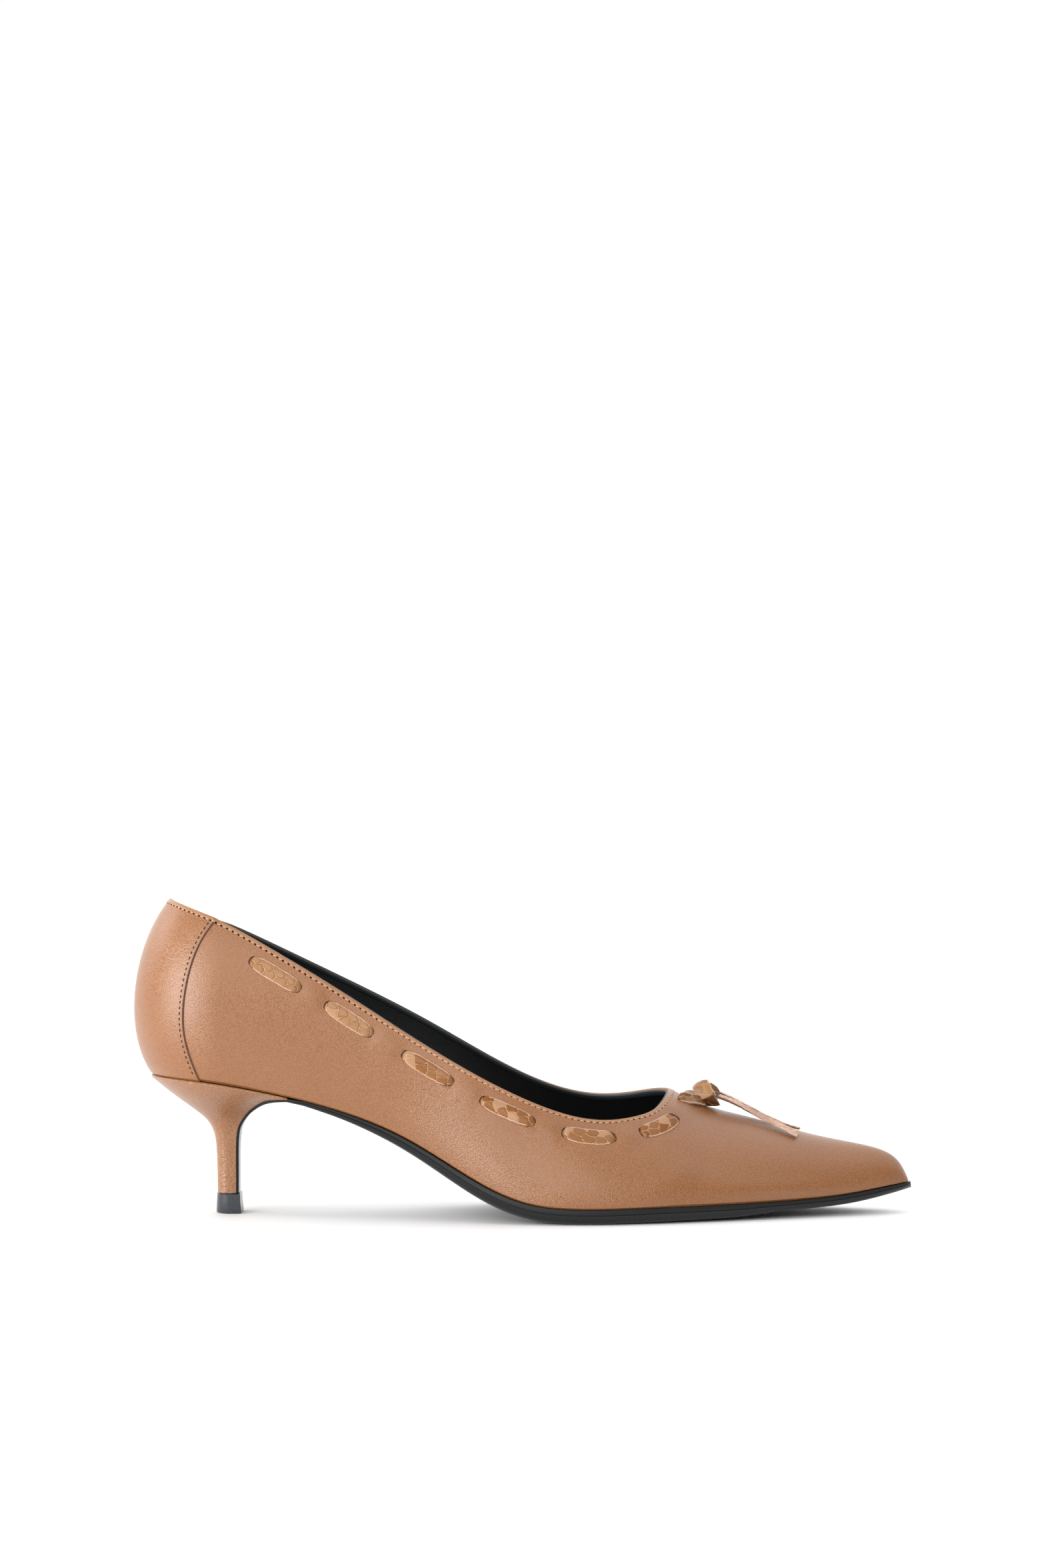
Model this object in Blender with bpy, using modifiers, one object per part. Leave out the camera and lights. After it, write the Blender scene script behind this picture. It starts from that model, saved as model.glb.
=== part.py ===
"""Kitten heel pump for the right foot, standing empty on its heel tip and forefoot.

The toe points along +X, the lateral side looks along -Y and the floor is z = 0. Every curved piece is
worked out from one last: sections across the shoe, given by the tables below in millimetres.
"""

import math

import bmesh
import bpy
import numpy as np

MM = 0.001
LATERAL = -1
MEDIAL = 1
SIDE_NAMES = {LATERAL: "lateral", MEDIAL: "medial"}

# Length of the last. The heel's sections fan about a vertical line and the toe's crowd to the point.
FAN_X = -100.0
FAN_RADIUS = 20.0
HEEL_BACK = FAN_X - FAN_RADIUS * math.pi / 2
TOE_START = 100.0
TOE_X = 129.4
TOE_END = 2 * TOE_X - TOE_START
THROAT = 49.3
NOSE = 145.0

# From the last's own axis to the middle of the part's box.
CENTRE = np.array((-0.11, 1.29, 0.0))

# Thicknesses and clearances.
WALL = 1.9
GAP = 0.3
COUNTER = 0.8
INSOLE = 1.6
MARGIN = 5.0
POCKET = 1.15
SOLE_LIP = 0.7

# Strip of the lace and its oval windows, measured along a line this far below the topline.
STRIP_BELOW = 6.7
WINDOW_HALF_WIDTH = 2.55
WINDOWS = {
    LATERAL: ((60.3, 19.6), (89.1, 18.8), (119.9, 19.6), (149.4, 19.8), (177.5, 18.2), (202.9, 17.0)),
    MEDIAL: ((60.3, 19.6), (88.2, 18.8), (117.2, 19.6), (146.0, 19.8), (172.6, 18.2), (196.2, 16.0)),
}
LEAD_HOLE = {LATERAL: (222.0, 6.4), MEDIAL: (212.0, 6.4)}

# Sections: how far the feather edge stands out, how the wall leaves it and how full its shoulder is.
SECTION_COLUMNS = ("station", "feather", "flare", "rise", "shoulder")
LATERAL_SECTIONS = (
    (HEEL_BACK, 23.4, 33.0, 0.368, 1.13),
    (-100.0, 25.2, 22.0, 0.360, 1.08),
    (-62.0, 24.2, 17.0, 0.360, 0.98),
    (-32.0, 26.5, 14.0, 0.340, 0.84),
    (0.0, 36.0, 6.0, 0.300, 0.62),
    (25.0, 38.0, 3.0, 0.330, 0.48),
    (49.3, 33.0, 4.0, 0.380, 0.50),
    (75.0, 24.3, 6.0, 0.450, 0.52),
    (100.0, 14.8, 6.0, 0.500, 0.55),
    (120.0, 8.2, 6.0, 0.520, 0.55),
    (140.0, 3.7, 4.0, 0.550, 0.55),
    (TOE_END, 0.0, 0.0, 0.550, 0.55),
)
MEDIAL_SECTIONS = (
    (HEEL_BACK, 23.4, 33.0, 0.368, 1.13),
    (-100.0, 25.2, 22.0, 0.360, 1.08),
    (-62.0, 22.0, 24.0, 0.370, 1.08),
    (-32.0, 19.4, 29.0, 0.380, 1.10),
    (0.0, 29.0, 14.0, 0.330, 0.72),
    (30.0, 35.8, 6.0, 0.340, 0.55),
    (49.3, 33.8, 5.0, 0.400, 0.52),
    (75.0, 27.0, 6.0, 0.460, 0.53),
    (100.0, 16.8, 6.0, 0.500, 0.55),
    (120.0, 9.2, 6.0, 0.520, 0.55),
    (140.0, 4.1, 4.0, 0.550, 0.55),
    (TOE_END, 0.0, 0.0, 0.550, 0.55),
)
RIDGE_COLUMNS = ("station", "across", "height")
RIDGE = (
    (HEEL_BACK, 0.0, 113.5),
    (-100.0, 0.0, 116.0),
    (-62.0, 0.3, 106.0),
    (-32.0, 1.5, 88.0),
    (0.0, 3.0, 64.5),
    (25.0, 4.0, 50.5),
    (49.3, 4.0, 41.1),
    (60.5, 3.8, 35.9),
    (75.0, 3.5, 31.9),
    (100.0, 2.5, 25.8),
    (120.0, 1.5, 21.9),
    (140.0, 0.7, 16.3),
    (150.0, 0.3, 12.6),
    (TOE_END, 0.0, 10.4),
)
TOPLINE_COLUMNS = ("station", "lateral", "medial")
TOPLINE = (
    (HEEL_BACK, 105.0, 105.0),
    (-115.7, 103.6, 102.4),
    (-100.0, 98.6, 96.0),
    (-84.5, 90.6, 88.7),
    (-62.0, 77.3, 77.6),
    (-32.0, 58.2, 62.6),
    (0.0, 40.6, 44.6),
    (25.0, 33.3, 38.2),
    (39.0, 34.2, 39.4),
    (45.0, 36.9, 40.6),
    (THROAT, 41.1, 41.1),
)
BOTTOM_COLUMNS = ("x", "height")
BOTTOM = (
    (-126.0, 46.9),
    (-106.0, 45.7),
    (-88.0, 42.8),
    (-72.0, 39.2),
    (-56.0, 34.4),
    (-40.0, 27.7),
    (-24.0, 18.6),
    (-10.0, 10.9),
    (2.0, 6.7),
    (16.0, 5.2),
    (40.0, 5.3),
    (70.0, 5.6),
    (92.0, 6.1),
    (108.0, 7.2),
    (120.0, 8.9),
    (131.0, 10.6),
)
SOLE_COLUMNS = ("x", "thickness")
SOLE = (
    (-96.0, 0.9),
    (-77.0, 1.2),
    (-70.0, 1.7),
    (-60.0, 2.3),
    (-46.0, 3.3),
    (-30.0, 4.0),
    (-16.0, 4.6),
    (2.0, 5.2),
    (30.0, 5.2),
    (62.0, 4.9),
    (84.0, 4.1),
    (104.0, 3.4),
    (118.0, 3.0),
    (131.0, 2.0),
)
HEEL_COLUMNS = ("front_x", "front_z", "back_x", "back_z", "half_width")
HEEL = (
    (-77.5, 40.1, -124.3, 46.5, 26.3),
    (-84.5, 38.9, -118.8, 41.2, 21.0),
    (-89.2, 36.3, -110.8, 35.2, 14.4),
    (-92.2, 33.6, -106.8, 32.0, 10.2),
    (-94.6, 30.1, -104.7, 29.3, 7.5),
    (-95.6, 26.6, -103.4, 26.0, 6.1),
    (-95.9, 21.4, -102.8, 21.4, 5.4),
    (-95.9, 14.0, -102.5, 14.0, 5.1),
    (-95.9, 6.9, -102.4, 6.9, 5.2),
)
HEEL_TIP = (
    (-94.5, 6.6, -102.6, 6.6, 5.45),
    (-94.3, 0.5, -102.8, 0.5, 5.6),
    (-94.6, 0.0, -102.5, 0.0, 5.3),
)

# Counter's front edge in side view, from the topline down to the heel.
SEAM_COLUMNS = ("height", "lateral", "medial")
SEAM = (
    (44.0, -105.4, -108.0),
    (52.0, -109.6, -111.5),
    (62.0, -111.9, -114.0),
    (72.0, -111.6, -114.4),
    (84.0, -108.4, -112.0),
    (93.0, -104.2, -108.6),
    (101.0, -99.0, -104.0),
)

KNOT_CENTRE = (61.6, 2.6, 40.5)
KNOT_HALF = (4.2, 4.4, 4.1)

LACE_END = {
    LATERAL: ((66.2, 0.2, 39.2), (75.0, -1.2, 35.3), (83.0, -2.9, 31.4), (90.0, -4.6, 28.2), (93.6, -5.6, 27.0)),
    MEDIAL: ((66.2, 4.9, 39.6), (75.0, 4.9, 36.0), (83.0, 5.1, 32.2), (90.0, 5.5, 29.0), (93.4, 5.8, 27.9)),
}

COLOURS = {
    "leather": (0.47, 0.26, 0.14),
    "strip": (0.39, 0.20, 0.07),
    "sole": (0.02, 0.025, 0.03),
    "lining": (0.004, 0.006, 0.008),
    "tip": (0.05, 0.055, 0.06),
}


def smooth_curve(xs, ys):
    """Natural cubic spline through the points, as a function of arrays."""
    xs = np.asarray(xs, float)
    ys = np.asarray(ys, float)
    count = len(xs)
    step = np.diff(xs)
    matrix = np.eye(count)
    right = np.zeros(count)
    for i in range(1, count - 1):
        matrix[i, i - 1 : i + 2] = step[i - 1], 2 * (step[i - 1] + step[i]), step[i]
        right[i] = 6 * ((ys[i + 1] - ys[i]) / step[i] - (ys[i] - ys[i - 1]) / step[i - 1])
    bend = np.linalg.solve(matrix, right)

    def value(x):
        x = np.clip(np.asarray(x, float), xs[0], xs[-1])
        i = np.clip(np.searchsorted(xs, x) - 1, 0, count - 2)
        a = (xs[i + 1] - x) / step[i]
        b = (x - xs[i]) / step[i]
        cubic = (a**3 - a) * bend[i] + (b**3 - b) * bend[i + 1]
        return a * ys[i] + b * ys[i + 1] + cubic * step[i] ** 2 / 6

    return value


def columns(names, rows):
    """A table's columns by name."""
    return dict(zip(names, np.array(rows, float).T))


def table_curve(names, rows, column):
    """One column of a table as a smooth function of its first column."""
    table = columns(names, rows)
    return smooth_curve(table[names[0]], table[column])


def round_heel(column):
    """A section column from the lateral toe round the heel to the medial toe, smooth at the back."""
    lateral = columns(SECTION_COLUMNS, LATERAL_SECTIONS)
    medial = columns(SECTION_COLUMNS, MEDIAL_SECTIONS)
    along = np.concatenate((HEEL_BACK - lateral["station"][:0:-1], medial["station"] - HEEL_BACK))
    return smooth_curve(along, np.concatenate((lateral[column][:0:-1], medial[column])))


bottom_height = table_curve(BOTTOM_COLUMNS, BOTTOM, "height")
sole_thickness = table_curve(SOLE_COLUMNS, SOLE, "thickness")
ridge_across = table_curve(RIDGE_COLUMNS, RIDGE, "across")
ridge_height = table_curve(RIDGE_COLUMNS, RIDGE, "height")
topline_height = {
    LATERAL: table_curve(TOPLINE_COLUMNS, TOPLINE, "lateral"),
    MEDIAL: table_curve(TOPLINE_COLUMNS, TOPLINE, "medial"),
}
seam_x = {
    LATERAL: table_curve(SEAM_COLUMNS, SEAM, "lateral"),
    MEDIAL: table_curve(SEAM_COLUMNS, SEAM, "medial"),
}
section_curves = {name: round_heel(name) for name in SECTION_COLUMNS[1:]}


def section_frame(side, station):
    """Origin x and the outward direction's x and y of the section planes."""
    fan = np.clip((FAN_X - station) / FAN_RADIUS, 0, math.pi / 2)
    crowded = TOE_X - (TOE_END - station) ** 2 / (4 * (TOE_X - TOE_START))
    x = np.where(station < FAN_X, FAN_X, np.where(station > TOE_START, crowded, station))
    return x, -np.sin(fan), side * np.cos(fan)


def section_control(side, station):
    """The four control points of each section's wall, outward and up in its plane."""
    along = side * (station - HEEL_BACK)
    feather = section_curves["feather"](along)
    flare = np.radians(section_curves["flare"](along))
    x, out_x, out_y = section_frame(side, station)
    foot = bottom_height(x + out_x * feather)
    top = ridge_height(station)
    middle = ridge_across(station) * out_y
    rise = section_curves["rise"](along) * (top - foot)
    shoulder = middle + section_curves["shoulder"](along) * (feather - middle)
    out = (feather, feather + rise * np.sin(flare), shoulder, middle)
    up = (foot, foot + rise * np.cos(flare), top, top)
    return out, up


def cubic(points, t):
    """Bezier curve through control values."""
    u = 1 - t
    return points[0] * u**3 + 3 * points[1] * u * u * t + 3 * points[2] * u * t * t + points[3] * t**3


def last_point(side, station, t):
    """Points on the last, t from 0 at the feather edge to 1 on the ridge."""
    side, station, t = np.broadcast_arrays(*(np.asarray(v, float) for v in (side, station, t)))
    out, up = section_control(side, station)
    x, out_x, out_y = section_frame(side, station)
    reach = cubic(out, t)
    return np.stack((x + out_x * reach, out_y * reach, cubic(up, t)), -1)


def last_normal(side, station, t):
    """Outward unit normals of the last."""
    side, station, t = np.broadcast_arrays(*(np.asarray(v, float) for v in (side, station, t)))
    station = np.clip(station, HEEL_BACK + 0.05, TOE_END - 1.5)
    t = np.clip(t, 0.004, 0.996)
    along = last_point(side, station + 0.05, t) - last_point(side, station - 0.05, t)
    rising = last_point(side, station, t + 0.004) - last_point(side, station, t - 0.004)
    normal = np.cross(along, rising) * -side[..., None]
    return normal / np.linalg.norm(normal, axis=-1, keepdims=True)


def collar_t(side, station):
    """Where the topline crosses each section; 1 in front of the throat."""
    side, station = np.broadcast_arrays(np.asarray(side, float), np.asarray(station, float))
    _, up = section_control(side, station)
    height = np.where(side < 0, topline_height[LATERAL](station), topline_height[MEDIAL](station))
    low = np.zeros(station.shape)
    high = np.ones(station.shape)
    for _ in range(40):
        mid = (low + high) / 2
        under = cubic(up, mid) < height
        low = np.where(under, mid, low)
        high = np.where(under, high, mid)
    return np.where(station >= THROAT - 1e-6, 1.0, (low + high) / 2)


def onto_last(side, points):
    """The station, t, place and normal of the last nearest to each point."""
    x, y, z = np.moveaxis(np.asarray(points, float), -1, 0)
    fan = np.arctan2(np.maximum(FAN_X - x, 0), np.abs(y))
    toe = TOE_END - np.sqrt(np.maximum(4 * (TOE_X - TOE_START) * (TOE_X - x), 0))
    station = np.where(x < FAN_X, FAN_X - FAN_RADIUS * fan, np.where(x > TOE_START, toe, x))
    reach = np.where(x < FAN_X, np.hypot(x - FAN_X, y), side * y)
    grid = np.linspace(0, 1, 241)
    out, up = section_control(np.full(station.shape, float(side)), station)
    out_at = cubic([v[..., None] for v in out], grid)
    up_at = cubic([v[..., None] for v in up], grid)
    near = np.argmin((out_at - reach[..., None]) ** 2 + (up_at - z[..., None]) ** 2, axis=-1)
    near = np.clip(near, 1, len(grid) - 2)
    pick = lambda array, k: np.take_along_axis(array, k[..., None], -1)[..., 0]
    run_out = pick(out_at, near + 1) - pick(out_at, near - 1)
    run_up = pick(up_at, near + 1) - pick(up_at, near - 1)
    off_out = reach - pick(out_at, near - 1)
    off_up = z - pick(up_at, near - 1)
    part = (off_out * run_out + off_up * run_up) / (run_out**2 + run_up**2)
    t = np.clip(grid[near - 1] + part * (grid[2] - grid[0]), 0, 1)
    return station, t, last_point(side, station, t), last_normal(side, station, t)


class StripLine:
    """The line that the lace's strip follows below the topline of one side, from the back to the throat."""

    def __init__(self, side):
        self.side = side
        u = np.linspace(0, 1, 500)
        station = HEEL_BACK + (THROAT - HEEL_BACK) * (1 - (1 - u) ** 2)
        t = collar_t(side, station)
        edge = last_point(side, station, t)
        normal = last_normal(side, station, t)
        along = np.gradient(edge, axis=0)
        along /= np.linalg.norm(along, axis=1, keepdims=True)
        down = np.cross(along, normal) * -side
        self.place = onto_last(side, edge + STRIP_BELOW * down)[2]
        step = np.linalg.norm(np.diff(self.place, axis=0), axis=1)
        self.length = np.concatenate(([0.0], np.cumsum(step)))
        self.down = down

    def at(self, distance, across):
        """Points on the last at a distance along the line and across it."""
        place = np.stack([np.interp(distance, self.length, column) for column in self.place.T], -1)
        down = np.stack([np.interp(distance, self.length, column) for column in self.down.T], -1)
        down /= np.linalg.norm(down, axis=-1, keepdims=True)
        _, _, point, normal = onto_last(self.side, place + np.asarray(across)[..., None] * down)
        return point, normal


def clear_scene():
    """Removes what the startup scene holds."""
    for obj in list(bpy.data.objects):
        bpy.data.objects.remove(obj, do_unlink=True)


def collection(name):
    """A new collection in the scene."""
    made = bpy.data.collections.new(name)
    bpy.context.scene.collection.children.link(made)
    return made


def finish(name, roughness, coat=0.0):
    """A Principled material in one of the named colours."""
    material = bpy.data.materials.new(name)
    material.use_nodes = True
    shader = material.node_tree.nodes["Principled BSDF"]
    shader.inputs["Base Color"].default_value = (*COLOURS[name], 1)
    shader.inputs["Roughness"].default_value = roughness
    shader.inputs["Coat Weight"].default_value = coat
    return material


def mesh_object(name, points, faces, where, material=None, closed=True):
    """An object from points in millimetres; welded, and turned outward when closed."""
    mesh = bpy.data.meshes.new(name)
    mesh.from_pydata(((np.asarray(points).reshape(-1, 3) + CENTRE) * MM).tolist(), [], faces)
    work = bmesh.new()
    work.from_mesh(mesh)
    bmesh.ops.remove_doubles(work, verts=work.verts, dist=2e-6)
    bmesh.ops.dissolve_degenerate(work, edges=work.edges, dist=1e-6)
    if closed:
        bmesh.ops.recalc_face_normals(work, faces=work.faces)
    work.to_mesh(mesh)
    work.free()
    obj = bpy.data.objects.new(name, mesh)
    where.objects.link(obj)
    if material:
        mesh.materials.append(material)
    return obj


def grid_faces(rows, count, start=0, flip=False, wrap=False):
    """Quads between the points of a grid held row by row."""
    faces = []
    for i in range(rows - 1):
        for j in range(count if wrap else count - 1):
            a = start + i * count + j
            b = start + i * count + (j + 1) % count
            quad = (a, a + count, b + count, b)
            faces.append(quad[::-1] if flip else quad)
    return faces


def loft_faces(rings, count, start=0):
    """Quads between closed rings, and a face over each end."""
    faces = grid_faces(rings, count, start, wrap=True)
    faces.append(tuple(range(start, start + count)))
    faces.append(tuple(range(start + (rings - 1) * count, start + rings * count)))
    return faces


def loft(name, rings, where, material):
    """A closed solid through rings of equal count."""
    rings = np.asarray(rings)
    return mesh_object(name, rings, loft_faces(len(rings), rings.shape[1]), where, material)


def stations():
    """Stations of the upper's columns, closer at the heel, throat and toe."""
    heel = np.linspace(HEEL_BACK, FAN_X, 9)
    quarter = np.linspace(FAN_X, 36, 16)[1:]
    throat = (39.5, 42.5, 45.0, 47.0, 48.4, THROAT)
    vamp = (52.0, 55.5, 60.0, 66.0, 73.0, 81.0, 90.0, 100.0)
    toe = (110.0, 120.0, 130.0, 139.0, NOSE)
    return np.concatenate((heel, quarter, throat, vamp, toe))


def shell(obj, thickness, offset, group=None):
    """Gives an open surface its thickness."""
    modifier = obj.modifiers.new("wall", "SOLIDIFY")
    modifier.thickness = thickness * MM
    modifier.offset = offset
    modifier.use_even_offset = True
    modifier.use_rim = True
    if group:
        modifier.vertex_group = group
        modifier.thickness_vertex_group = 0.0
    return modifier


def upper_surface(where, material):
    """The lasted upper as an open surface with its turned-under margin."""
    line = stations()
    rows = np.linspace(0, 1, 10)
    points = []
    faces = []
    nose = []
    for side in (LATERAL, MEDIAL):
        t = collar_t(side, line)[:, None] * rows[None, :]
        wall = last_point(side, line[:, None], t)
        x, out_x, out_y = section_frame(side, line)
        feather = np.hypot(wall[:, 0, 0] - x, wall[:, 0, 1])
        inner = feather - np.minimum(MARGIN, 0.8 * feather)
        turned_x = x + out_x * inner
        turned = np.stack((turned_x, out_y * inner, bottom_height(turned_x)), -1)
        grid = np.concatenate((turned[:, None], wall), axis=1)
        start = sum(len(p) for p in points)
        points.append(grid.reshape(-1, 3))
        faces += grid_faces(len(line), grid.shape[1], start, flip=side == MEDIAL)
        end = range(start + (len(line) - 1) * grid.shape[1], start + len(line) * grid.shape[1])
        nose += end[:-1] if side == LATERAL else end[::-1]
    faces.append(tuple(nose[::-1]))
    obj = mesh_object("upper", np.concatenate(points), faces, where, material, closed=False)
    group = obj.vertex_groups.new(name="wall")
    for vertex in obj.data.vertices:
        to_tip = TOE_X + CENTRE[0] - vertex.co.x / MM
        group.add([vertex.index], float(np.clip(0.5 + (to_tip - 7) / 24, 0.5, 1.0)), "REPLACE")
    shell(obj, WALL, -1, "wall")
    return obj


def pill(line, distance, length, half_width, low, high, ends, crown):
    """Rings of an oval that lies along the strip's line: its low side is even, its high side falls to the ends."""
    half = length / 2
    along = half * np.sin(np.linspace(-math.pi / 2, math.pi / 2, 11))
    past = np.maximum(np.abs(along) - (half - half_width), 0)
    wide = np.sqrt(np.maximum(half_width**2 - past**2, 0.35**2))
    top = high + (ends - high) * (along / half) ** 2
    low = np.full(top.shape, low)
    if crown:
        across = np.stack((-wide, wide, wide, 0 * wide, -wide), -1)
        lift = np.stack((low, low, top - crown, top, top - crown), -1)
    else:
        across = np.stack((-wide, wide, wide, -wide), -1)
        lift = np.stack((low, low, top, top), -1)
    point, normal = line.at((distance + along)[:, None] + 0 * across, across)
    return point + lift[..., None] * normal


def cut_windows(upper, lines, where):
    """Cuts the oval windows and the lead holes as pockets in the upper's outer leather."""
    points = []
    faces = []
    for side, line in lines.items():
        for distance, length in WINDOWS[side] + (LEAD_HOLE[side],):
            rings = pill(line, distance, length, WINDOW_HALF_WIDTH, -POCKET, 2.5, 2.5, 0)
            start = sum(len(p) for p in points)
            points.append(rings.reshape(-1, 3))
            faces += loft_faces(len(rings), rings.shape[1], start)
    cutter = mesh_object("window_cutters", np.concatenate(points), faces, where)
    cutter.hide_render = True
    cutter.display_type = "WIRE"
    modifier = upper.modifiers.new("windows", "BOOLEAN")
    modifier.operation = "DIFFERENCE"
    modifier.solver = "EXACT"
    modifier.object = cutter


def strip_bars(lines, where, material):
    """The stretches of strip that show in the windows."""
    for side, line in lines.items():
        for number, (distance, length) in enumerate(WINDOWS[side], 1):
            half = WINDOW_HALF_WIDTH - GAP
            rings = pill(line, distance, length - 2 * GAP, half, GAP - POCKET, 0.5, -0.2, 0.3)
            loft(f"lace_bar_{SIDE_NAMES[side]}_{number}", rings, where, material)


def counter(where, material):
    """The heel counter, an overlay on the upper's own surface with its curved front edge."""
    rows = np.linspace(0.012, 1, 9)
    part = np.linspace(0, 1, 9)
    points = []
    faces = []
    for side in (LATERAL, MEDIAL):
        low = np.full(rows.shape, HEEL_BACK + 1)
        high = np.full(rows.shape, -88.0)
        for _ in range(40):
            mid = (low + high) / 2
            place = last_point(side, mid, collar_t(side, mid) * rows)
            behind = place[:, 0] < seam_x[side](place[:, 2])
            low = np.where(behind, mid, low)
            high = np.where(behind, high, mid)
        line = HEEL_BACK + (low - HEEL_BACK)[None, :] * part[:, None]
        t = collar_t(side, line) * rows[None, :]
        grid = last_point(side, line, t) + GAP * last_normal(side, line, t)
        grid[0, :, 1] = 0
        start = sum(len(p) for p in points)
        points.append(grid.reshape(-1, 3))
        faces += grid_faces(len(part), len(rows), start, flip=side == MEDIAL)
    obj = mesh_object("heel_counter", np.concatenate(points), faces, where, material, closed=False)
    shell(obj, COUNTER, 1)


def insole(where, material):
    """The inner sole on the turned-under margin."""
    line = stations()
    line = line[line < 131]
    inset = WALL + 0.9
    low = WALL + GAP
    rings = []
    for station in line:
        edge = []
        for side in (LATERAL, MEDIAL):
            feather = float(section_control(float(side), np.array(station))[0][0])
            x, out_x, out_y = (float(v) for v in section_frame(side, np.array(station)))
            reach = max(feather - inset, 0.4)
            edge.append((x + out_x * reach, out_y * reach if station > HEEL_BACK else side * 0.4))
        across = np.linspace(0, 1, 3)
        xs = edge[0][0] + (edge[1][0] - edge[0][0]) * across
        ys = edge[0][1] + (edge[1][1] - edge[0][1]) * across
        z = bottom_height(xs)
        steep = np.hypot(1, (bottom_height(xs + 0.5) - bottom_height(xs - 0.5)))
        under = np.stack((xs, ys, z + low * steep), -1)
        over = np.stack((xs, ys, z + (low + INSOLE) * steep), -1)
        rings.append(np.concatenate((under, over[::-1])))
    loft("insole", rings, where, material)


def seat_outline():
    """Heel seat's outline from the lateral front corner round the back to the medial one."""
    front = HEEL[0][0]
    line = np.concatenate((np.linspace(front, FAN_X, 5), np.linspace(FAN_X, HEEL_BACK, 7)[1:]))
    sides = []
    for side in (LATERAL, MEDIAL):
        edge = last_point(side, line, 0)
        outward = edge - np.array((FAN_X, 0, 0))
        flat = np.where((line < FAN_X)[:, None], outward * (1, 1, 0), np.array((0, side, 0)))
        reach = 0.2 + 0.9 * np.clip((front - line) / 20, 0, 1)
        edge = edge + reach[:, None] * flat / np.linalg.norm(flat, axis=1, keepdims=True)
        edge[-1, 1] = 0
        sides.append(edge)
    return np.concatenate((sides[0], sides[1][-2::-1]))


def heel_rings(rows, seat):
    """Rings of the heel in the shape of its seat, at the front and back points of each row."""
    table = columns(HEEL_COLUMNS, rows)
    back = seat[:, 0].min()
    share = (seat[:, 0] - seat[0, 0]) / (back - seat[0, 0])
    wide = seat[:, 1] / np.abs(seat[:, 1]).max()
    rings = []
    for i in range(len(rows)):
        x = table["front_x"][i] + share * (table["back_x"][i] - table["front_x"][i])
        z = table["front_z"][i] + share * (table["back_z"][i] - table["front_z"][i])
        rings.append(np.stack((x, wide * table["half_width"][i], z), -1))
    return rings


def finer(rows, steps):
    """Rows between the rows of a table, by smooth curves through each column."""
    at = np.arange(len(rows))
    fine = np.linspace(0, len(rows) - 1, (len(rows) - 1) * steps + 1)
    return np.stack([smooth_curve(at, column)(fine) for column in np.array(rows, float).T], -1)


def heel(where, material, seat):
    """The covered heel: its seat follows the upper's bottom."""
    rings = heel_rings(finer(HEEL, 2), seat)
    top = seat.copy()
    top[:, 2] = bottom_height(top[:, 0]) - GAP
    rings[0] = top
    count = len(seat)
    faces = grid_faces(len(rings), count, wrap=True)
    for start in (0, (len(rings) - 1) * count):
        for i in range(count // 2):
            a, b = start + i, start + count - 1 - i
            faces.append((a, a + 1, b - 1, b) if a + 1 != b - 1 else (a, a + 1, b))
    mesh_object("heel", np.concatenate(rings), faces, where, material)


def outsole(where, material, seat):
    """Forepart, shank and breast cover as one strip from the toe to the heel's foot."""
    line = np.concatenate((stations(), (151.0, 155.5, 158.5, TOE_END)))[::-1]
    line = line[line > -72]
    top = []
    for station in line:
        x = float(section_frame(1, np.array(station))[0])
        x += SOLE_LIP * max((station - TOE_START) / (TOE_END - TOE_START), 0) ** 2
        wide = [float(section_control(float(s), np.array(station))[0][0]) for s in (LATERAL, MEDIAL)]
        lip = SOLE_LIP * float(np.clip((station + 72) / 40, 0.15, 1))
        top.append((x, float(bottom_height(x)) - GAP, wide[0] + lip, wide[1] + lip))
    share = np.abs(seat[0, 1]) / np.abs(seat[:, 1]).max(), seat[-1, 1] / np.abs(seat[:, 1]).max()
    fine = columns(HEEL_COLUMNS, finer(HEEL, 2))
    slope = np.stack((np.gradient(fine["front_x"]), np.gradient(fine["front_z"])), -1)
    slope /= np.linalg.norm(slope, axis=1, keepdims=True)
    for i in range(len(slope)):
        x = fine["front_x"][i] - GAP * slope[i, 1]
        z = fine["front_z"][i] + GAP * slope[i, 0]
        top.append((x, z, fine["half_width"][i] * share[0], fine["half_width"][i] * share[1]))
    top = np.array(top)
    run = np.gradient(top[:, :2], axis=0)
    run /= np.linalg.norm(run, axis=1, keepdims=True)
    down = np.stack((-run[:, 1], run[:, 0]), -1)
    thick = sole_thickness(top[:, 0])
    rings = []
    for (x, z, lateral, medial), (down_x, down_z), depth in zip(top, down, thick):
        soft = min(depth * 1.1, 0.45 * (lateral + medial))
        inward = (0.0, 0.0, 0.10 * soft, 0.42 * soft, soft)
        deep = (0.0, 0.34, 0.62, 0.9, 1.0)
        across = [-lateral + v for v in inward] + [0.0] + [medial - v for v in inward[::-1]]
        depths = [depth * v for v in deep] + [depth] + [depth * v for v in deep[::-1]]
        across = np.array(across + [medial * 0.5, 0.0, -lateral * 0.5])
        depths = np.array(depths + [0.0, 0.0, 0.0])
        ring = np.stack((x + down_x * depths, across, np.maximum(z + down_z * depths, 0)), -1)
        rings.append(ring)
    loft("outsole", rings, where, material)


def heel_tip(where, material, seat):
    """The top piece under the heel and the end of its cover."""
    loft("heel_tip", heel_rings(HEEL_TIP, seat), where, material)


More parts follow.
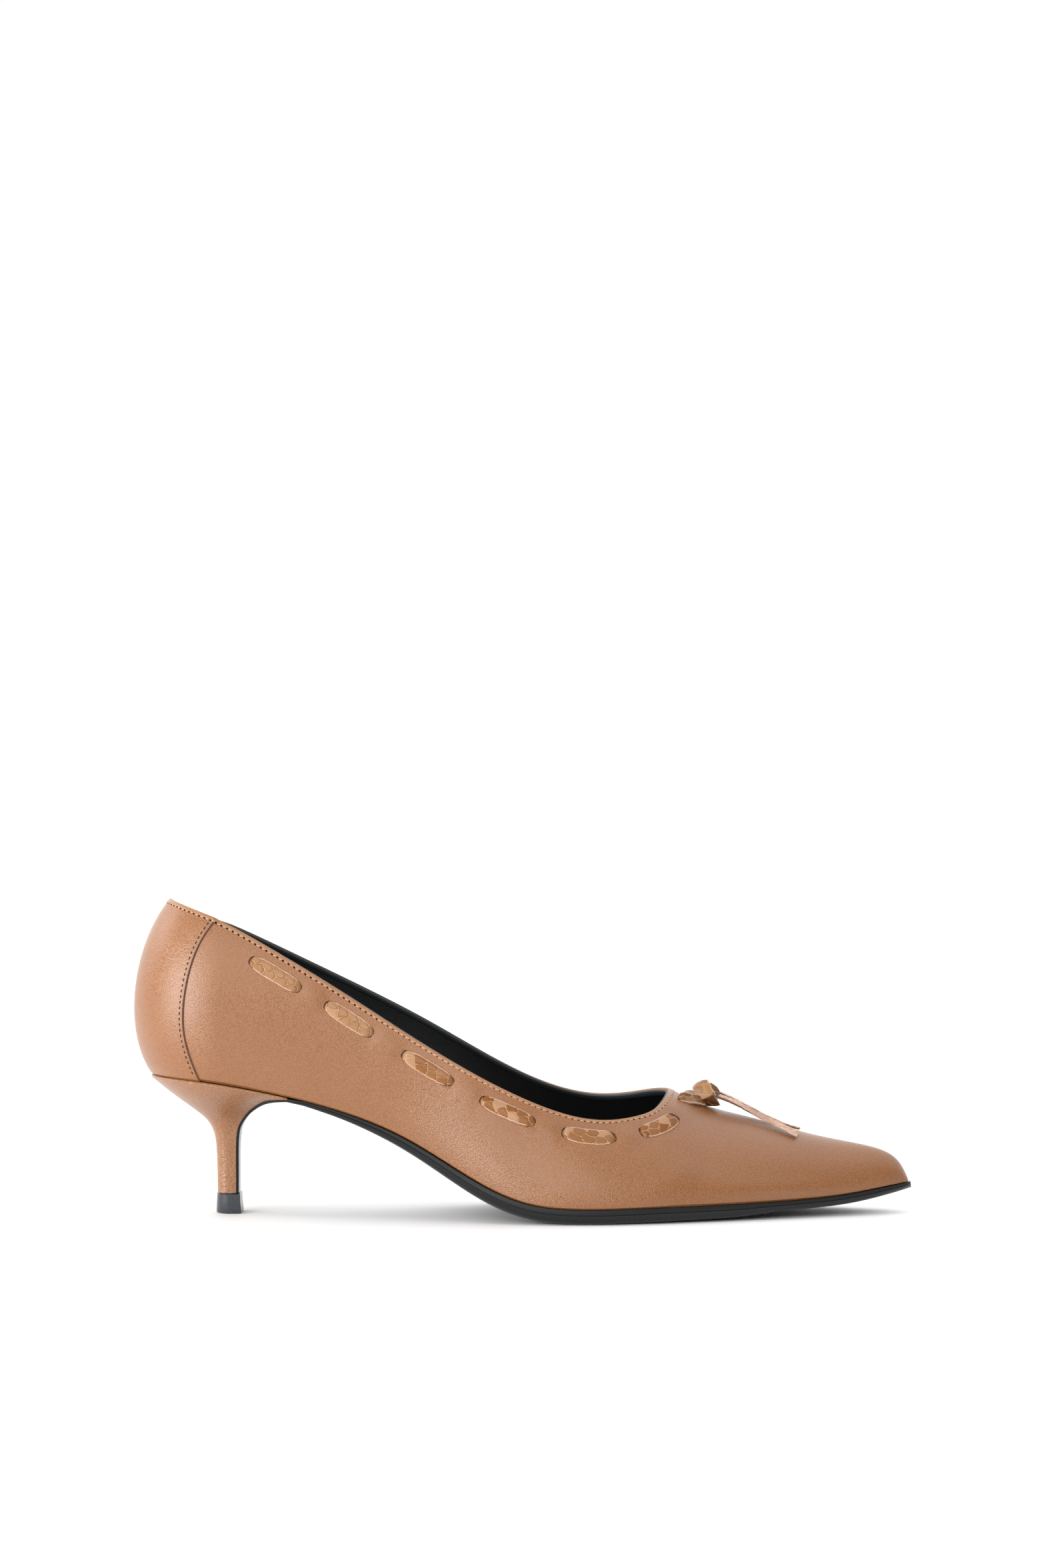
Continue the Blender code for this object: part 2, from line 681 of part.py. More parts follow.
def ribbon(name, path, normals, width, thickness, where, material):
    """A flat strip along a path, its face square to the normals."""
    path = np.asarray(path, float)
    fine = np.linspace(0, len(path) - 1, (len(path) - 1) * 4 + 1)
    at = np.arange(len(path))
    line = np.stack([smooth_curve(at, c)(fine) for c in path.T], -1)
    face = np.stack([smooth_curve(at, c)(fine) for c in np.asarray(normals, float).T], -1)
    run = np.gradient(line, axis=0)
    run /= np.linalg.norm(run, axis=1, keepdims=True)
    across = np.cross(face, run)
    across /= np.linalg.norm(across, axis=1, keepdims=True)
    face = np.cross(run, across)
    corners = ((-0.5, -0.3), (-0.42, -0.5), (0.42, -0.5), (0.5, -0.3), (0.5, 0.3), (0.42, 0.5))
    corners += ((-0.42, 0.5), (-0.5, 0.3))
    rings = [line + across * width * a + face * thickness * b for a, b in corners]
    loft(name, np.stack(rings, 1), where, material)


def lace(lines, where, material):
    """The knot in front of the throat, the leads that reach it and the two ends that leave it."""
    u = np.linspace(-math.pi / 2, math.pi / 2, 13)[1:-1]
    v = np.linspace(0, 2 * math.pi, 20, endpoint=False)
    power = lambda a: np.sign(a) * np.abs(a) ** 0.88
    x = KNOT_CENTRE[0] + KNOT_HALF[0] * power(np.sin(u))[:, None] + 0 * v
    y = KNOT_CENTRE[1] + KNOT_HALF[1] * power(np.cos(u))[:, None] * power(np.cos(v))
    z = KNOT_CENTRE[2] + KNOT_HALF[2] * power(np.cos(u))[:, None] * power(np.sin(v))
    loft("lace_knot", np.stack((x, y, z), -1), where, material)
    for side in (LATERAL, MEDIAL):
        middle = KNOT_CENTRE[1]
        hole, normal = lines[side].at(np.array([LEAD_HOLE[side][0]]), np.array([0.6]))
        start = hole[0] + 0.1 * normal[0]
        lead = (start, start + (1.6, -0.25 * side, 1.3), (KNOT_CENTRE[0] - 5.7, middle + side * 3.0, 39.4))
        up = (normal[0], normal[0], (-0.25, 0, 1))
        ribbon(f"lace_lead_{SIDE_NAMES[side]}", lead, up, 4.2, 1.1, where, material)
        path = np.array(LACE_END[side])
        _, _, foot, normal = onto_last(side, path)
        ribbon(f"lace_end_{SIDE_NAMES[side]}", path, normal, 4.0, 1.1, where, material)


def main():
    """Builds every piece of the shoe."""
    clear_scene()
    parts = collection("kitten_heel_pump")
    cutters = collection("cutters")
    leather = finish("leather", 0.5)
    strip = finish("strip", 0.3, 0.4)
    sole = finish("sole", 0.45)
    lining = finish("lining", 0.8)
    tip = finish("tip", 0.6)
    lines = {LATERAL: StripLine(LATERAL), MEDIAL: StripLine(MEDIAL)}
    seat = seat_outline()
    upper = upper_surface(parts, leather)
    cut_windows(upper, lines, cutters)
    strip_bars(lines, parts, strip)
    counter(parts, leather)
    insole(parts, lining)
    heel(parts, leather, seat)
    outsole(parts, sole, seat)
    heel_tip(parts, tip, seat)
    lace(lines, parts, strip)


main()
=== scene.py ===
"""Looks of a kitten heel pump for the right foot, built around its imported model.

The toe points along +X, the lateral side looks along -Y and the floor is z = 0. Every surface of the shoe is
worked out in millimetres from one last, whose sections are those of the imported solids, and put into its mesh
in metres.
"""

from __future__ import annotations

import logging
import math
from collections.abc import Callable
from dataclasses import dataclass
from enum import Enum
from typing import Any

import bmesh
import bpy
import numpy as np
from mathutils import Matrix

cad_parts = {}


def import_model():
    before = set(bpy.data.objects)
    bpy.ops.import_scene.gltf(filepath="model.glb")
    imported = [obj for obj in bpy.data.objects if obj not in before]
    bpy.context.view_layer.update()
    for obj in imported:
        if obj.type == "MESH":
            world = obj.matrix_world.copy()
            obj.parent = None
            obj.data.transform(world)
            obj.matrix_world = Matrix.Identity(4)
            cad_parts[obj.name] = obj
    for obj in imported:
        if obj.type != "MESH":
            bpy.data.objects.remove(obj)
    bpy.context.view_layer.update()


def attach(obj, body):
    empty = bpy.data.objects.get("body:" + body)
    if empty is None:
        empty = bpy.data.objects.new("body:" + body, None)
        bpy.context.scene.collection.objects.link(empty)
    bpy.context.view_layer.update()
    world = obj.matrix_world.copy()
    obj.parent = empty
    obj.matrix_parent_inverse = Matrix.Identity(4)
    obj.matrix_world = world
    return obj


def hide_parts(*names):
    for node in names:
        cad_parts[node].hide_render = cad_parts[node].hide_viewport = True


LOG = logging.getLogger("pump")
MM = 0.001
# where the tables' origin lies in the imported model's frame, in millimetres
CENTRE = np.array((-0.11, 1.29, 0.0))
# points closer together than this are one, in metres
WELD = 1.2e-5
Array = np.ndarray
Pair = tuple[float, float]
Triple = tuple[float, float, float]
Rows = tuple[tuple[float, ...], ...]
Piece = bpy.types.Object
Tree = bpy.types.NodeTree
Socket = bpy.types.NodeSocket
Frames = tuple[Array, Array, Array, Array]


class Side(Enum):
    """The two sides of the foot, with the sign of their y."""

    LATERAL = -1
    MEDIAL = 1

    @property
    def label(self) -> str:
        """The side's name in a piece's name."""
        return self.name.lower()

    def pick(self, lateral: Any, medial: Any) -> Any:
        """The one of two things that belongs to this side."""
        return lateral if self is Side.LATERAL else medial


class Slot(Enum):
    """Material slots that the pieces fall under."""

    LEATHER = "leather"
    STRIP = "strip"
    LINING = "lining"
    SOLE = "sole"
    TIP = "tip"


class Crease(Enum):
    """The angle in degrees over which an edge of a piece stays sharp."""

    MOULDED = 30.0
    PUNCHED = 38.0
    PANEL = 40.0
    SOLE = 42.0
    FOLDED = 50.0
    ROUND = 60.0


def linear(code: str) -> tuple[float, float, float, float]:
    """A colour from its sRGB hex value.

    Args:
        code: six hex digits after a hash.

    Returns:
        Linear red, green and blue, and an alpha of 1.
    """
    parts = [int(code[i : i + 2], 16) / 255 for i in (1, 3, 5)]
    red, green, blue = (v / 12.92 if v <= 0.04045 else ((v + 0.055) / 1.055) ** 2.4 for v in parts)
    return red, green, blue, 1.0


def plug(tree: Tree, made: Any, inputs: dict[Any, Any]) -> None:
    """Fills a node's inputs.

    Args:
        tree: the node's tree.
        made: the node.
        inputs: by socket, a value, a node whose first output is linked, or an output socket.
    """
    for name, value in inputs.items():
        if isinstance(value, bpy.types.Node):
            value = value.outputs[0]
        if isinstance(value, Socket):
            tree.links.new(value, made.inputs[name])
        else:
            made.inputs[name].default_value = value


def node(tree: Tree, kind: str, inputs: dict[Any, Any] | None = None, **settings: Any) -> Any:
    """Adds a node with its settings and links.

    Args:
        tree: the tree that takes the node.
        kind: the node's class, without its ShaderNode prefix.
        inputs: what its inputs get, by socket.
        settings: the node's own properties.

    Returns:
        The node.
    """
    made = tree.nodes.new("ShaderNode" + kind)
    for name, value in settings.items():
        setattr(made, name, value)
    plug(tree, made, inputs or {})
    return made


def smooth(low: float, high: float, x: Array) -> Array:
    """Rises from 0 at low to 1 at high with level ends."""
    share = np.clip((np.asarray(x, float) - low) / (high - low), 0, 1)
    return share * share * (3 - 2 * share)


def unit(vectors: Array) -> Array:
    """Vectors of length 1."""
    return vectors / np.maximum(np.linalg.norm(vectors, axis=-1, keepdims=True), 1e-9)


class Spline:
    """Natural cubic spline through points: straight at its ends, with even curvature between."""

    def __init__(self, xs: Array, ys: Array) -> None:
        """Solves for the second derivatives.

        Args:
            xs: rising places of the points.
            ys: the values there.
        """
        self.xs = np.asarray(xs, float)
        self.ys = np.asarray(ys, float)
        self.step = np.diff(self.xs)
        count = len(self.xs)
        inner = np.arange(1, count - 1)
        matrix = np.eye(count)
        matrix[inner, inner - 1] = self.step[:-1]
        matrix[inner, inner] = 2 * (self.step[:-1] + self.step[1:])
        matrix[inner, inner + 1] = self.step[1:]
        right = np.zeros(count)
        right[1:-1] = 6 * np.diff(np.diff(self.ys) / self.step)
        self.bend = np.linalg.solve(matrix, right)

    def __call__(self, x: Array) -> Array:
        """The spline's values.

        Args:
            x: places, held to the range of the points.

        Returns:
            Values of the same shape.
        """
        x = np.clip(np.asarray(x, float), self.xs[0], self.xs[-1])
        i = np.clip(np.searchsorted(self.xs, x) - 1, 0, len(self.xs) - 2)
        a = (self.xs[i + 1] - x) / self.step[i]
        b = (x - self.xs[i]) / self.step[i]
        cubic = (a**3 - a) * self.bend[i] + (b**3 - b) * self.bend[i + 1]
        return a * self.ys[i] + b * self.ys[i + 1] + cubic * self.step[i] ** 2 / 6


def through(rows: Any, count: int) -> Array:
    """Points on a smooth curve through the rows of a table.

    Args:
        rows: the table, a point or a set of sizes in each row.
        count: how many points to give.

    Returns:
        The points, evenly spread over the rows.
    """
    table = np.asarray(rows, float)
    at = np.arange(len(table))
    fine = np.linspace(0, len(table) - 1, count)
    return np.stack([Spline(at, column)(fine) for column in table.T], -1)


def lengths(points: Array) -> Array:
    """Distance along a line of points, from 0 at its start."""
    step = np.linalg.norm(np.diff(points, axis=0), axis=1)
    return np.concatenate(([0.0], np.cumsum(step)))


def rows_at(table: Array, run: Array, at: Array) -> Array:
    """Rows of a table at places along its run, straight between the rows that are given."""
    return np.stack([np.interp(at, run, column) for column in table.T], -1)


def along(points: Array, at: Array) -> Array:
    """Points at given distances along a line of points."""
    return rows_at(points, lengths(points), at)


def halve(before: Callable[[Array], Array], low: Array, high: Array, rounds: int = 40) -> tuple[Array, Array]:
    """Closes in on the places where a test turns from true to false, by halving the spans that hold them.

    Args:
        before: the test, true at places before the turn.
        low: places before the turns.
        high: places past them.
        rounds: how often the spans are halved.

    Returns:
        The ends of the last spans, before and past the turns.
    """
    for _ in range(rounds):
        middle = (low + high) / 2
        early = before(middle)
        low = np.where(early, middle, low)
        high = np.where(early, high, middle)
    return low, high


class Maker:
    """A mesh in the making: points in millimetres, faces by point numbers, and fields that materials read."""

    def __init__(self) -> None:
        """Starts empty."""
        self.points: list[Array] = []
        self.faces: list[list[int]] = []
        self.slots: list[int] = []
        self.fields: dict[str, list[tuple[int, Array]]] = {}
        self.count = 0

    def add(self, points: Array, **fields: Array) -> Array:
        """Takes in an array of points.

        Args:
            points: any shape, with x, y and z last.
            fields: numbers at the points, by name.

        Returns:
            The points' numbers in the same shape.
        """
        points = np.asarray(points, float)
        shape = points.shape[:-1]
        ids = np.arange(int(np.prod(shape))).reshape(shape) + self.count
        for name, values in fields.items():
            self.fields.setdefault(name, []).append((self.count, np.broadcast_to(values, shape).ravel()))
        self.points.append(points.reshape(-1, 3))
        self.count += ids.size
        return ids

    def quads(self, ids: Array, slot: int = 0, wrap: bool = False) -> None:
        """Faces over a grid of point numbers.

        Args:
            ids: the grid.
            slot: the finish's place in the list given to make.
            wrap: joins the last column to the first.
        """
        if wrap:
            ids = np.concatenate((ids, ids[:, :1]), axis=1)
        corners = (ids[:-1, :-1], ids[1:, :-1], ids[1:, 1:], ids[:-1, 1:])
        faces = np.stack(corners, -1).reshape(-1, 4).tolist()
        self.faces += faces
        self.slots += [slot] * len(faces)

    def bridge(self, first: Array, second: Array, slot: int = 0) -> None:
        """Faces between two lines of point numbers."""
        self.quads(np.stack((first, second)), slot)

    def cap(self, ring: Array, slot: int = 0) -> None:
        """One face over a ring of point numbers."""
        self.faces.append(ring.tolist())
        self.slots.append(slot)

    def loft(self, rings: Array, slot: int = 0, **fields: Array) -> Array:
        """A closed body through rings of equal count.

        Args:
            rings: the rings, each a closed line of points.
            slot: the finish's place in the list given to make.
            fields: numbers at the points, by name.

        Returns:
            The points' numbers.
        """
        ids = self.add(rings, **fields)
        self.quads(ids, slot, wrap=True)
        self.cap(ids[0], slot)
        self.cap(ids[-1], slot)
        return ids

    def make(self, name: str, finishes: list[Finish], sharp: Crease = Crease.PANEL) -> Piece:
        """Makes the object: welded, turned outward and smooth except at sharp edges.

        Args:
            name: the piece's name.
            finishes: the finishes by slot.
            sharp: which edges stay sharp.

        Returns:
            The object, at the origin.
        """
        mesh = bpy.data.meshes.new(name)
        mesh.from_pydata(((np.concatenate(self.points) + CENTRE) * MM).tolist(), [], self.faces)
        for finish in finishes:
            mesh.materials.append(finish.material())
        mesh.polygons.foreach_set("material_index", self.slots)
        for field_name, parts in self.fields.items():
            values = np.zeros(self.count, np.float32)
            for start, part in parts:
                values[start : start + part.size] = part
            mesh.attributes.new(field_name, "FLOAT", "POINT").data.foreach_set("value", values)
        work = bmesh.new()
        work.from_mesh(mesh)
        bmesh.ops.remove_doubles(work, verts=work.verts, dist=WELD)
        bmesh.ops.recalc_face_normals(work, faces=work.faces)
        work.to_mesh(mesh)
        work.free()
        soften(mesh, sharp)
        made = bpy.data.objects.new(name, mesh)
        bpy.context.scene.collection.objects.link(made)
        return made


def soften(mesh: bpy.types.Mesh, sharp: Crease) -> None:
    """Shades a mesh smooth apart from its sharp edges.

    Args:
        mesh: the mesh.
        sharp: which edges stay sharp.
    """
    mesh.polygons.foreach_set("use_smooth", np.ones(len(mesh.polygons), bool))
    mesh.set_sharp_from_angle(angle=math.radians(sharp.value))
    mesh.update()


def settle(piece: Piece, slot: Slot, *nodes: str) -> Piece:
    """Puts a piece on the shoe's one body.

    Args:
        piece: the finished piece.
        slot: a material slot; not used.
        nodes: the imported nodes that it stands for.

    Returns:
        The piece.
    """
    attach(piece, "root")
    if nodes:
        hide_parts(*nodes)
    LOG.info("%s: %d faces", piece.name, len(piece.data.polygons))
    return piece


@dataclass(frozen=True)
class Finish:
    """What all finishes share: the real material's name, and how its nodes reach the shader."""

    name: str

    def material(self) -> bpy.types.Material:
        """The finish as a material, made once.

        Returns:
            A material with the finish's colour, roughness and bump, and the values that are even all over.
        """
        known = bpy.data.materials.get(self.name)
        if known:
            return known
        made = bpy.data.materials.new(self.name)
        made.use_nodes = True
        tree = made.node_tree
        place = node(tree, "TexCoord").outputs["Object"]
        plug(tree, tree.nodes["Principled BSDF"], self.surface(tree, place))
        return made

    def surface(self, tree: Tree, place: Socket) -> dict[str, Any]:
        """The surface's nodes, and its values that are even all over.

        Args:
            tree: the material's tree.
            place: the Object coordinates.

        Returns:
            What the shader's inputs get, by socket.
        """
        raise NotImplementedError


@dataclass(frozen=True)
class GrainLeather(Finish):
    """Calf leather, drum dyed and lightly finished: a fine pebble grain with soft gloss.

    Grain cells bump the surface and their valleys hold a little more dye. The field pucker brings small
    wrinkles, and a second field brings in the pale colour, which on the lining's fold is a painted sheen.
    """

    colour: str
    deep: str
    pale: str
    roughness: Pair = (0.26, 0.34)
    # calf's own grain is nearer 0.25 mm and its pores 0.1 mm: both are drawn coarser, to show in the render
    grain_mm: float = 0.45
    pore_mm: float = 0.3
    depth_mm: float = 0.062
    # the grain's drift, the wrinkles and the dye's clouds
    drift_mm: float = 2.2
    wrinkle_mm: float = 1.1
    cloud_mm: float = 26.0
    stretch: Triple = (0.9, 1.0, 1.08)
    turn: float = 32.0
    drift: float = 0.6
    wrinkle_rise: float = 9.0
    evenness: float = 0.55
    valley_dye: float = 0.75
    ior: float = 1.6

    def surface(self, tree: Tree, place: Socket) -> dict[str, Any]:
        """The nodes of the grain: domed cells that drift, pores, and wrinkles along the skin's lean.

        Args:
            tree: the material's tree.
            place: the Object coordinates.

        Returns:
            What the shader's inputs get, by socket.
        """
        lean = (0.0, math.radians(self.turn), 0.0)
        tilted = node(tree, "Mapping", {"Vector": place, "Rotation": lean})
        turned = node(tree, "Mapping", {"Vector": tilted, "Scale": self.stretch})
        cloud = node(tree, "TexNoise", {"Vector": place, "Scale": 1 / (self.cloud_mm * MM), "Detail": 3.0})
        warp = node(tree, "TexNoise", {"Vector": turned, "Scale": 1 / (self.drift_mm * MM), "Detail": 2.0})
        shift = node(tree, "VectorMath", {0: warp.outputs["Color"], 1: (0.5, 0.5, 0.5)}, operation="SUBTRACT")
        reach = self.drift * self.grain_mm * MM
        small = node(tree, "VectorMath", {0: shift, "Scale": reach}, operation="SCALE")
        bent = node(tree, "VectorMath", {0: turned, 1: small.outputs["Vector"]}, operation="ADD")
        cells = node(tree, "TexVoronoi", {"Vector": bent, "Scale": 1 / (self.grain_mm * MM)}, feature="F1")
        border = {"From Min": 0.1, "From Max": 0.7, "To Min": 1.0, "To Max": 0.0}
        domes = node(tree, "MapRange", {"Value": cells.outputs["Distance"], **border})
        pores = node(tree, "TexNoise", {"Vector": place, "Scale": 1 / (self.pore_mm * MM), "Detail": 2.0})
        grain = node(tree, "Math", {0: pores.outputs["Fac"], 1: 0.6, 2: domes}, operation="MULTIPLY_ADD")
        thin = node(tree, "Mapping", {"Vector": tilted, "Scale": (1.6, 1.6, 0.5)})
        creases = node(tree, "TexNoise", {"Vector": thin, "Scale": 1 / (self.wrinkle_mm * MM), "Detail": 1.0})
        pucker = node(tree, "Attribute", attribute_name="pucker").outputs["Fac"]
        puckers = node(tree, "Math", {0: creases.outputs["Fac"], 1: pucker}, operation="MULTIPLY")
        height = node(tree, "Math", {0: puckers, 1: self.wrinkle_rise, 2: grain}, operation="MULTIPLY_ADD")
        bump = node(tree, "Bump", {"Height": height, "Distance": self.depth_mm * MM, "Strength": 0.8})
        deep, pale = linear(self.deep), linear(self.pale)
        tone = node(tree, "Mix", {"Factor": cloud.outputs["Fac"], 6: deep, 7: pale}, data_type="RGBA")
        dye = {"Factor": self.evenness, 6: tone.outputs[2], 7: linear(self.colour)}
        dyed = node(tree, "Mix", dye, data_type="RGBA")
        valley = node(tree, "MapRange", {"Value": domes, "To Min": self.valley_dye, "To Max": 0.0})
        grained = node(tree, "Mix", {"Factor": valley, 6: dyed.outputs[2], 7: deep}, data_type="RGBA")
        # painted sheen: a field mixes in the pale colour; only the lining's fold carries it, as a cold grey
        # sheen
        worn = node(tree, "Attribute", attribute_name="worn").outputs["Fac"]
        colour = node(tree, "Mix", {"Factor": worn, 6: grained.outputs[2], 7: pale}, data_type="RGBA")
        low, high = self.roughness
        rough = node(tree, "MapRange", {"Value": cloud.outputs["Fac"], "To Min": high, "To Max": low})
        return {"Base Color": colour.outputs[2], "Roughness": rough, "Normal": bump, "IOR": self.ior}


@dataclass(frozen=True)
class EmbossedStrip(Finish):
    """Calf strip embossed with large scales and glazed.

    The scales are ochre; a few are pale, partly in their own tone and partly as painted glints. The plate's
    lines and the raw cut sides show the undyed leather. The fields gap, tone and edge give the distance from a
    scale's border, its tone and the distance from a side.
    """

    colour: str
    light: str
    line: str
    raw: str
    fibre_mm: float = 0.5
    patch_mm: float = 3.0
    depth_mm: float = 0.03
    roughness: Pair = (0.3, 0.8)
    specular: float = 0.2
    glaze: float = 0.12
    glaze_roughness: float = 0.08

    def surface(self, tree: Tree, place: Socket) -> dict[str, Any]:
        """The nodes of the scales, their lines and the strip's raw sides.

        Args:
            tree: the material's tree.
            place: the Object coordinates.

        Returns:
            What the shader's inputs get, by socket.
        """
        fields = [node(tree, "Attribute", attribute_name=name) for name in ("gap", "tone", "edge")]
        gap, tone, edge = (field.outputs["Fac"] for field in fields)
        fine = node(tree, "TexNoise", {"Vector": place, "Scale": 1 / (self.fibre_mm * MM), "Detail": 3.0})
        broad = node(tree, "TexNoise", {"Vector": place, "Scale": 1 / (self.patch_mm * MM), "Detail": 2.0})
        dyes = {6: linear(self.colour), 7: linear(self.light)}
        scale = node(tree, "Mix", {"Factor": tone, **dyes}, data_type="RGBA")
        worn = node(tree, "Math", {0: fine.outputs["Fac"], 1: 0.3, 2: gap}, operation="MULTIPLY_ADD")
        thin = {"From Min": 0.2, "From Max": 0.46, "To Min": 0.9, "To Max": 0.0}
        lines = node(tree, "MapRange", {"Value": worn, **thin})
        drawn = {"Factor": lines, 6: scale.outputs[2], 7: linear(self.line)}
        outlined = node(tree, "Mix", drawn, data_type="RGBA")
        ragged = node(tree, "Math", {0: broad.outputs["Fac"], 1: -0.4, 2: edge}, operation="MULTIPLY_ADD")
        frayed = {"From Min": -0.02, "From Max": 0.14, "To Min": 1.0, "To Max": 0.0}
        sides = node(tree, "MapRange", {"Value": ragged, **frayed})
        bared = {"Factor": sides, 6: outlined.outputs[2], 7: linear(self.raw)}
        colour = node(tree, "Mix", bared, data_type="RGBA")
        low, high = self.roughness
        rough = node(tree, "MapRange", {"Value": sides, "To Min": low, "To Max": high})
        relief = {"Height": fine.outputs["Fac"], "Distance": self.depth_mm * MM, "Strength": 0.3}
        bump = node(tree, "Bump", relief)
        glaze = {"Coat Weight": self.glaze, "Coat Roughness": self.glaze_roughness}
        even = {"Specular IOR Level": self.specular, **glaze}
        return {"Base Color": colour.outputs[2], "Roughness": rough, "Normal": bump, **even}


@dataclass(frozen=True)
class PlainFinish(Finish):
    """An even material with a fine surface of its own: lacquered sole, rubber, thread, edge dye or suede.

    Its colour, gloss and bump vary with one grain.
    """

    colour: str
    other: str
    roughness: Pair
    grit_mm: float
    depth_mm: float
    stretch: Triple = (1.0, 1.0, 1.0)
    coat: float = 0.0
    sheen: float = 0.0
    specular: float = 0.5
    cloud_mm: float = 15.0

    def surface(self, tree: Tree, place: Socket) -> dict[str, Any]:
        """The nodes of the grain: fine grit that gathers in clouds.

        Args:
            tree: the material's tree.
            place: the Object coordinates.

        Returns:
            What the shader's inputs get, by socket.
        """
        turned = node(tree, "Mapping", {"Vector": place, "Scale": self.stretch})
        grit = node(tree, "TexNoise", {"Vector": turned, "Scale": 1 / (self.grit_mm * MM), "Detail": 4.0})
        cloud = node(tree, "TexNoise", {"Vector": place, "Scale": 1 / (self.cloud_mm * MM), "Detail": 2.0})
        both = node(tree, "Math", {0: grit.outputs["Fac"], 1: cloud.outputs["Fac"]}, operation="MULTIPLY")
        share = node(tree, "MapRange", {"Value": both, "From Min": 0.12, "From Max": 0.42})
        dyes = {6: linear(self.colour), 7: linear(self.other)}
        colour = node(tree, "Mix", {"Factor": share, **dyes}, data_type="RGBA")
        low, high = self.roughness
        rough = node(tree, "MapRange", {"Value": share, "To Min": low, "To Max": high})
        relief = {"Height": grit.outputs["Fac"], "Distance": self.depth_mm * MM, "Strength": 0.5}
        bump = node(tree, "Bump", relief)
        even = {"Specular IOR Level": self.specular, "Coat Weight": self.coat, "Sheen Weight": self.sheen}
        return {"Base Color": colour.outputs[2], "Roughness": rough, "Normal": bump, **even}


@dataclass(frozen=True)
class Finishes:
    """Every finish on the shoe, each with what it gives the eye."""

    # calf, drum dyed and lightly finished: warm tan, a fine pebble and a broad soft gloss
    leather: GrainLeather = GrainLeather("grain calf leather", "#96643A", "#7A4B29", "#A27044")
    # the same calf pulled over the heel block: a coarser, drawn grain that breaks the gloss up
    heel_leather: GrainLeather = GrainLeather(
        "stretched calf leather", "#9F6E47", "#7F5334", "#AB7B53",
        grain_mm=0.7, depth_mm=0.1, stretch=(1.0, 1.0, 0.85),
    )
    # calf thinned and turned over the edge: a little paler where the fold draws the dye out
    roll_leather: GrainLeather = GrainLeather("rolled calf edge", "#A07048", "#875A37", "#AC7E56")
    # goat dyed through: nearly black and dull, so that the inside falls into shade
    lining: GrainLeather = GrainLeather(
        "black goat lining", "#07090C", "#040506", "#0B0E11", roughness=(0.4, 0.55), depth_mm=0.05
    )
    # the lining's fold: black, with a cold grey sheen painted along the throat: a painted reflection
    lining_roll: GrainLeather = GrainLeather(
        "folded lining edge", "#0C1013", "#070A0C", "#2E373C", roughness=(0.45, 0.6), depth_mm=0.03
    )
    # calf pressed under a scale plate and glazed: ochre scales in pale lines, with raw sides
    strip: EmbossedStrip = EmbossedStrip("scale embossed calf", "#784617", "#A57F5F", "#BE966E", "#BE9C84")
    # the same strip drawn tight round the knot: its dark base is painted shade on the lower fold, and its pale
    # crown is partly painted light
    knot: EmbossedStrip = EmbossedStrip("creased embossed calf", "#4C2C12", "#A07650", "#B08862", "#C4A288")
    # the strip's unfinished back: pale, dry and fibrous, with a soft sheen
    flesh: PlainFinish = PlainFinish(
        "calf flesh side", "#96694F", "#E6C4AE", (0.85, 0.95), 0.35, 0.25, stretch=(0.4, 1.0, 0.7), sheen=0.3
    )
    # cut leather painted with edge dye: a dull dark line; on the strip's free ends the same colour is painted
    # shade
    edge_dye_and_shade: PlainFinish = PlainFinish("dyed cut edge and painted shade", "#4E3122", "#6B4733", (0.55, 0.75), 0.5, 0.08)
    # leather left as it was punched: dry mid brown
    window_edge: PlainFinish = PlainFinish("raw window edge", "#6E4930", "#8E6545", (0.7, 0.85), 0.4, 0.08)
    # sole leather lacquered black: a low even gloss
    sole: PlainFinish = PlainFinish(
        "lacquered sole leather", "#08090B", "#0D0F12", (0.22, 0.32), 0.8, 0.02, coat=0.1, specular=0.35
    )
    # the same leather buffed at its edge: black and nearly matt
    sole_band: PlainFinish = PlainFinish(
        "buffed sole edge", "#08090B", "#0F1114", (0.5, 0.62), 0.5, 0.05, specular=0.35
    )
    # rubber from a polished mould: dark grey with a tight shine
    tip: PlainFinish = PlainFinish("moulded rubber", "#2B2D32", "#383A41", (0.18, 0.28), 0.5, 0.03)
    # polyester drawn through wax: pale tan, dull, with a fine twist
    thread: PlainFinish = PlainFinish("waxed polyester thread", "#AC8765", "#C9A888", (0.55, 0.7), 0.3, 0.05)
    # thread dyed to sink into its seam: dark brown and matt
    seam_thread: PlainFinish = PlainFinish(
        "dark seam thread", "#2A190F", "#3A2416", (0.7, 0.8), 0.3, 0.05, specular=0.2
    )
    # the shade in a needle's hole: nearly black, without gloss
    hole: PlainFinish = PlainFinish(
        "needle hole shade", "#0C0704", "#170D07", (0.9, 0.95), 0.3, 0.02, specular=0.05
    )


FINISHES = Finishes()


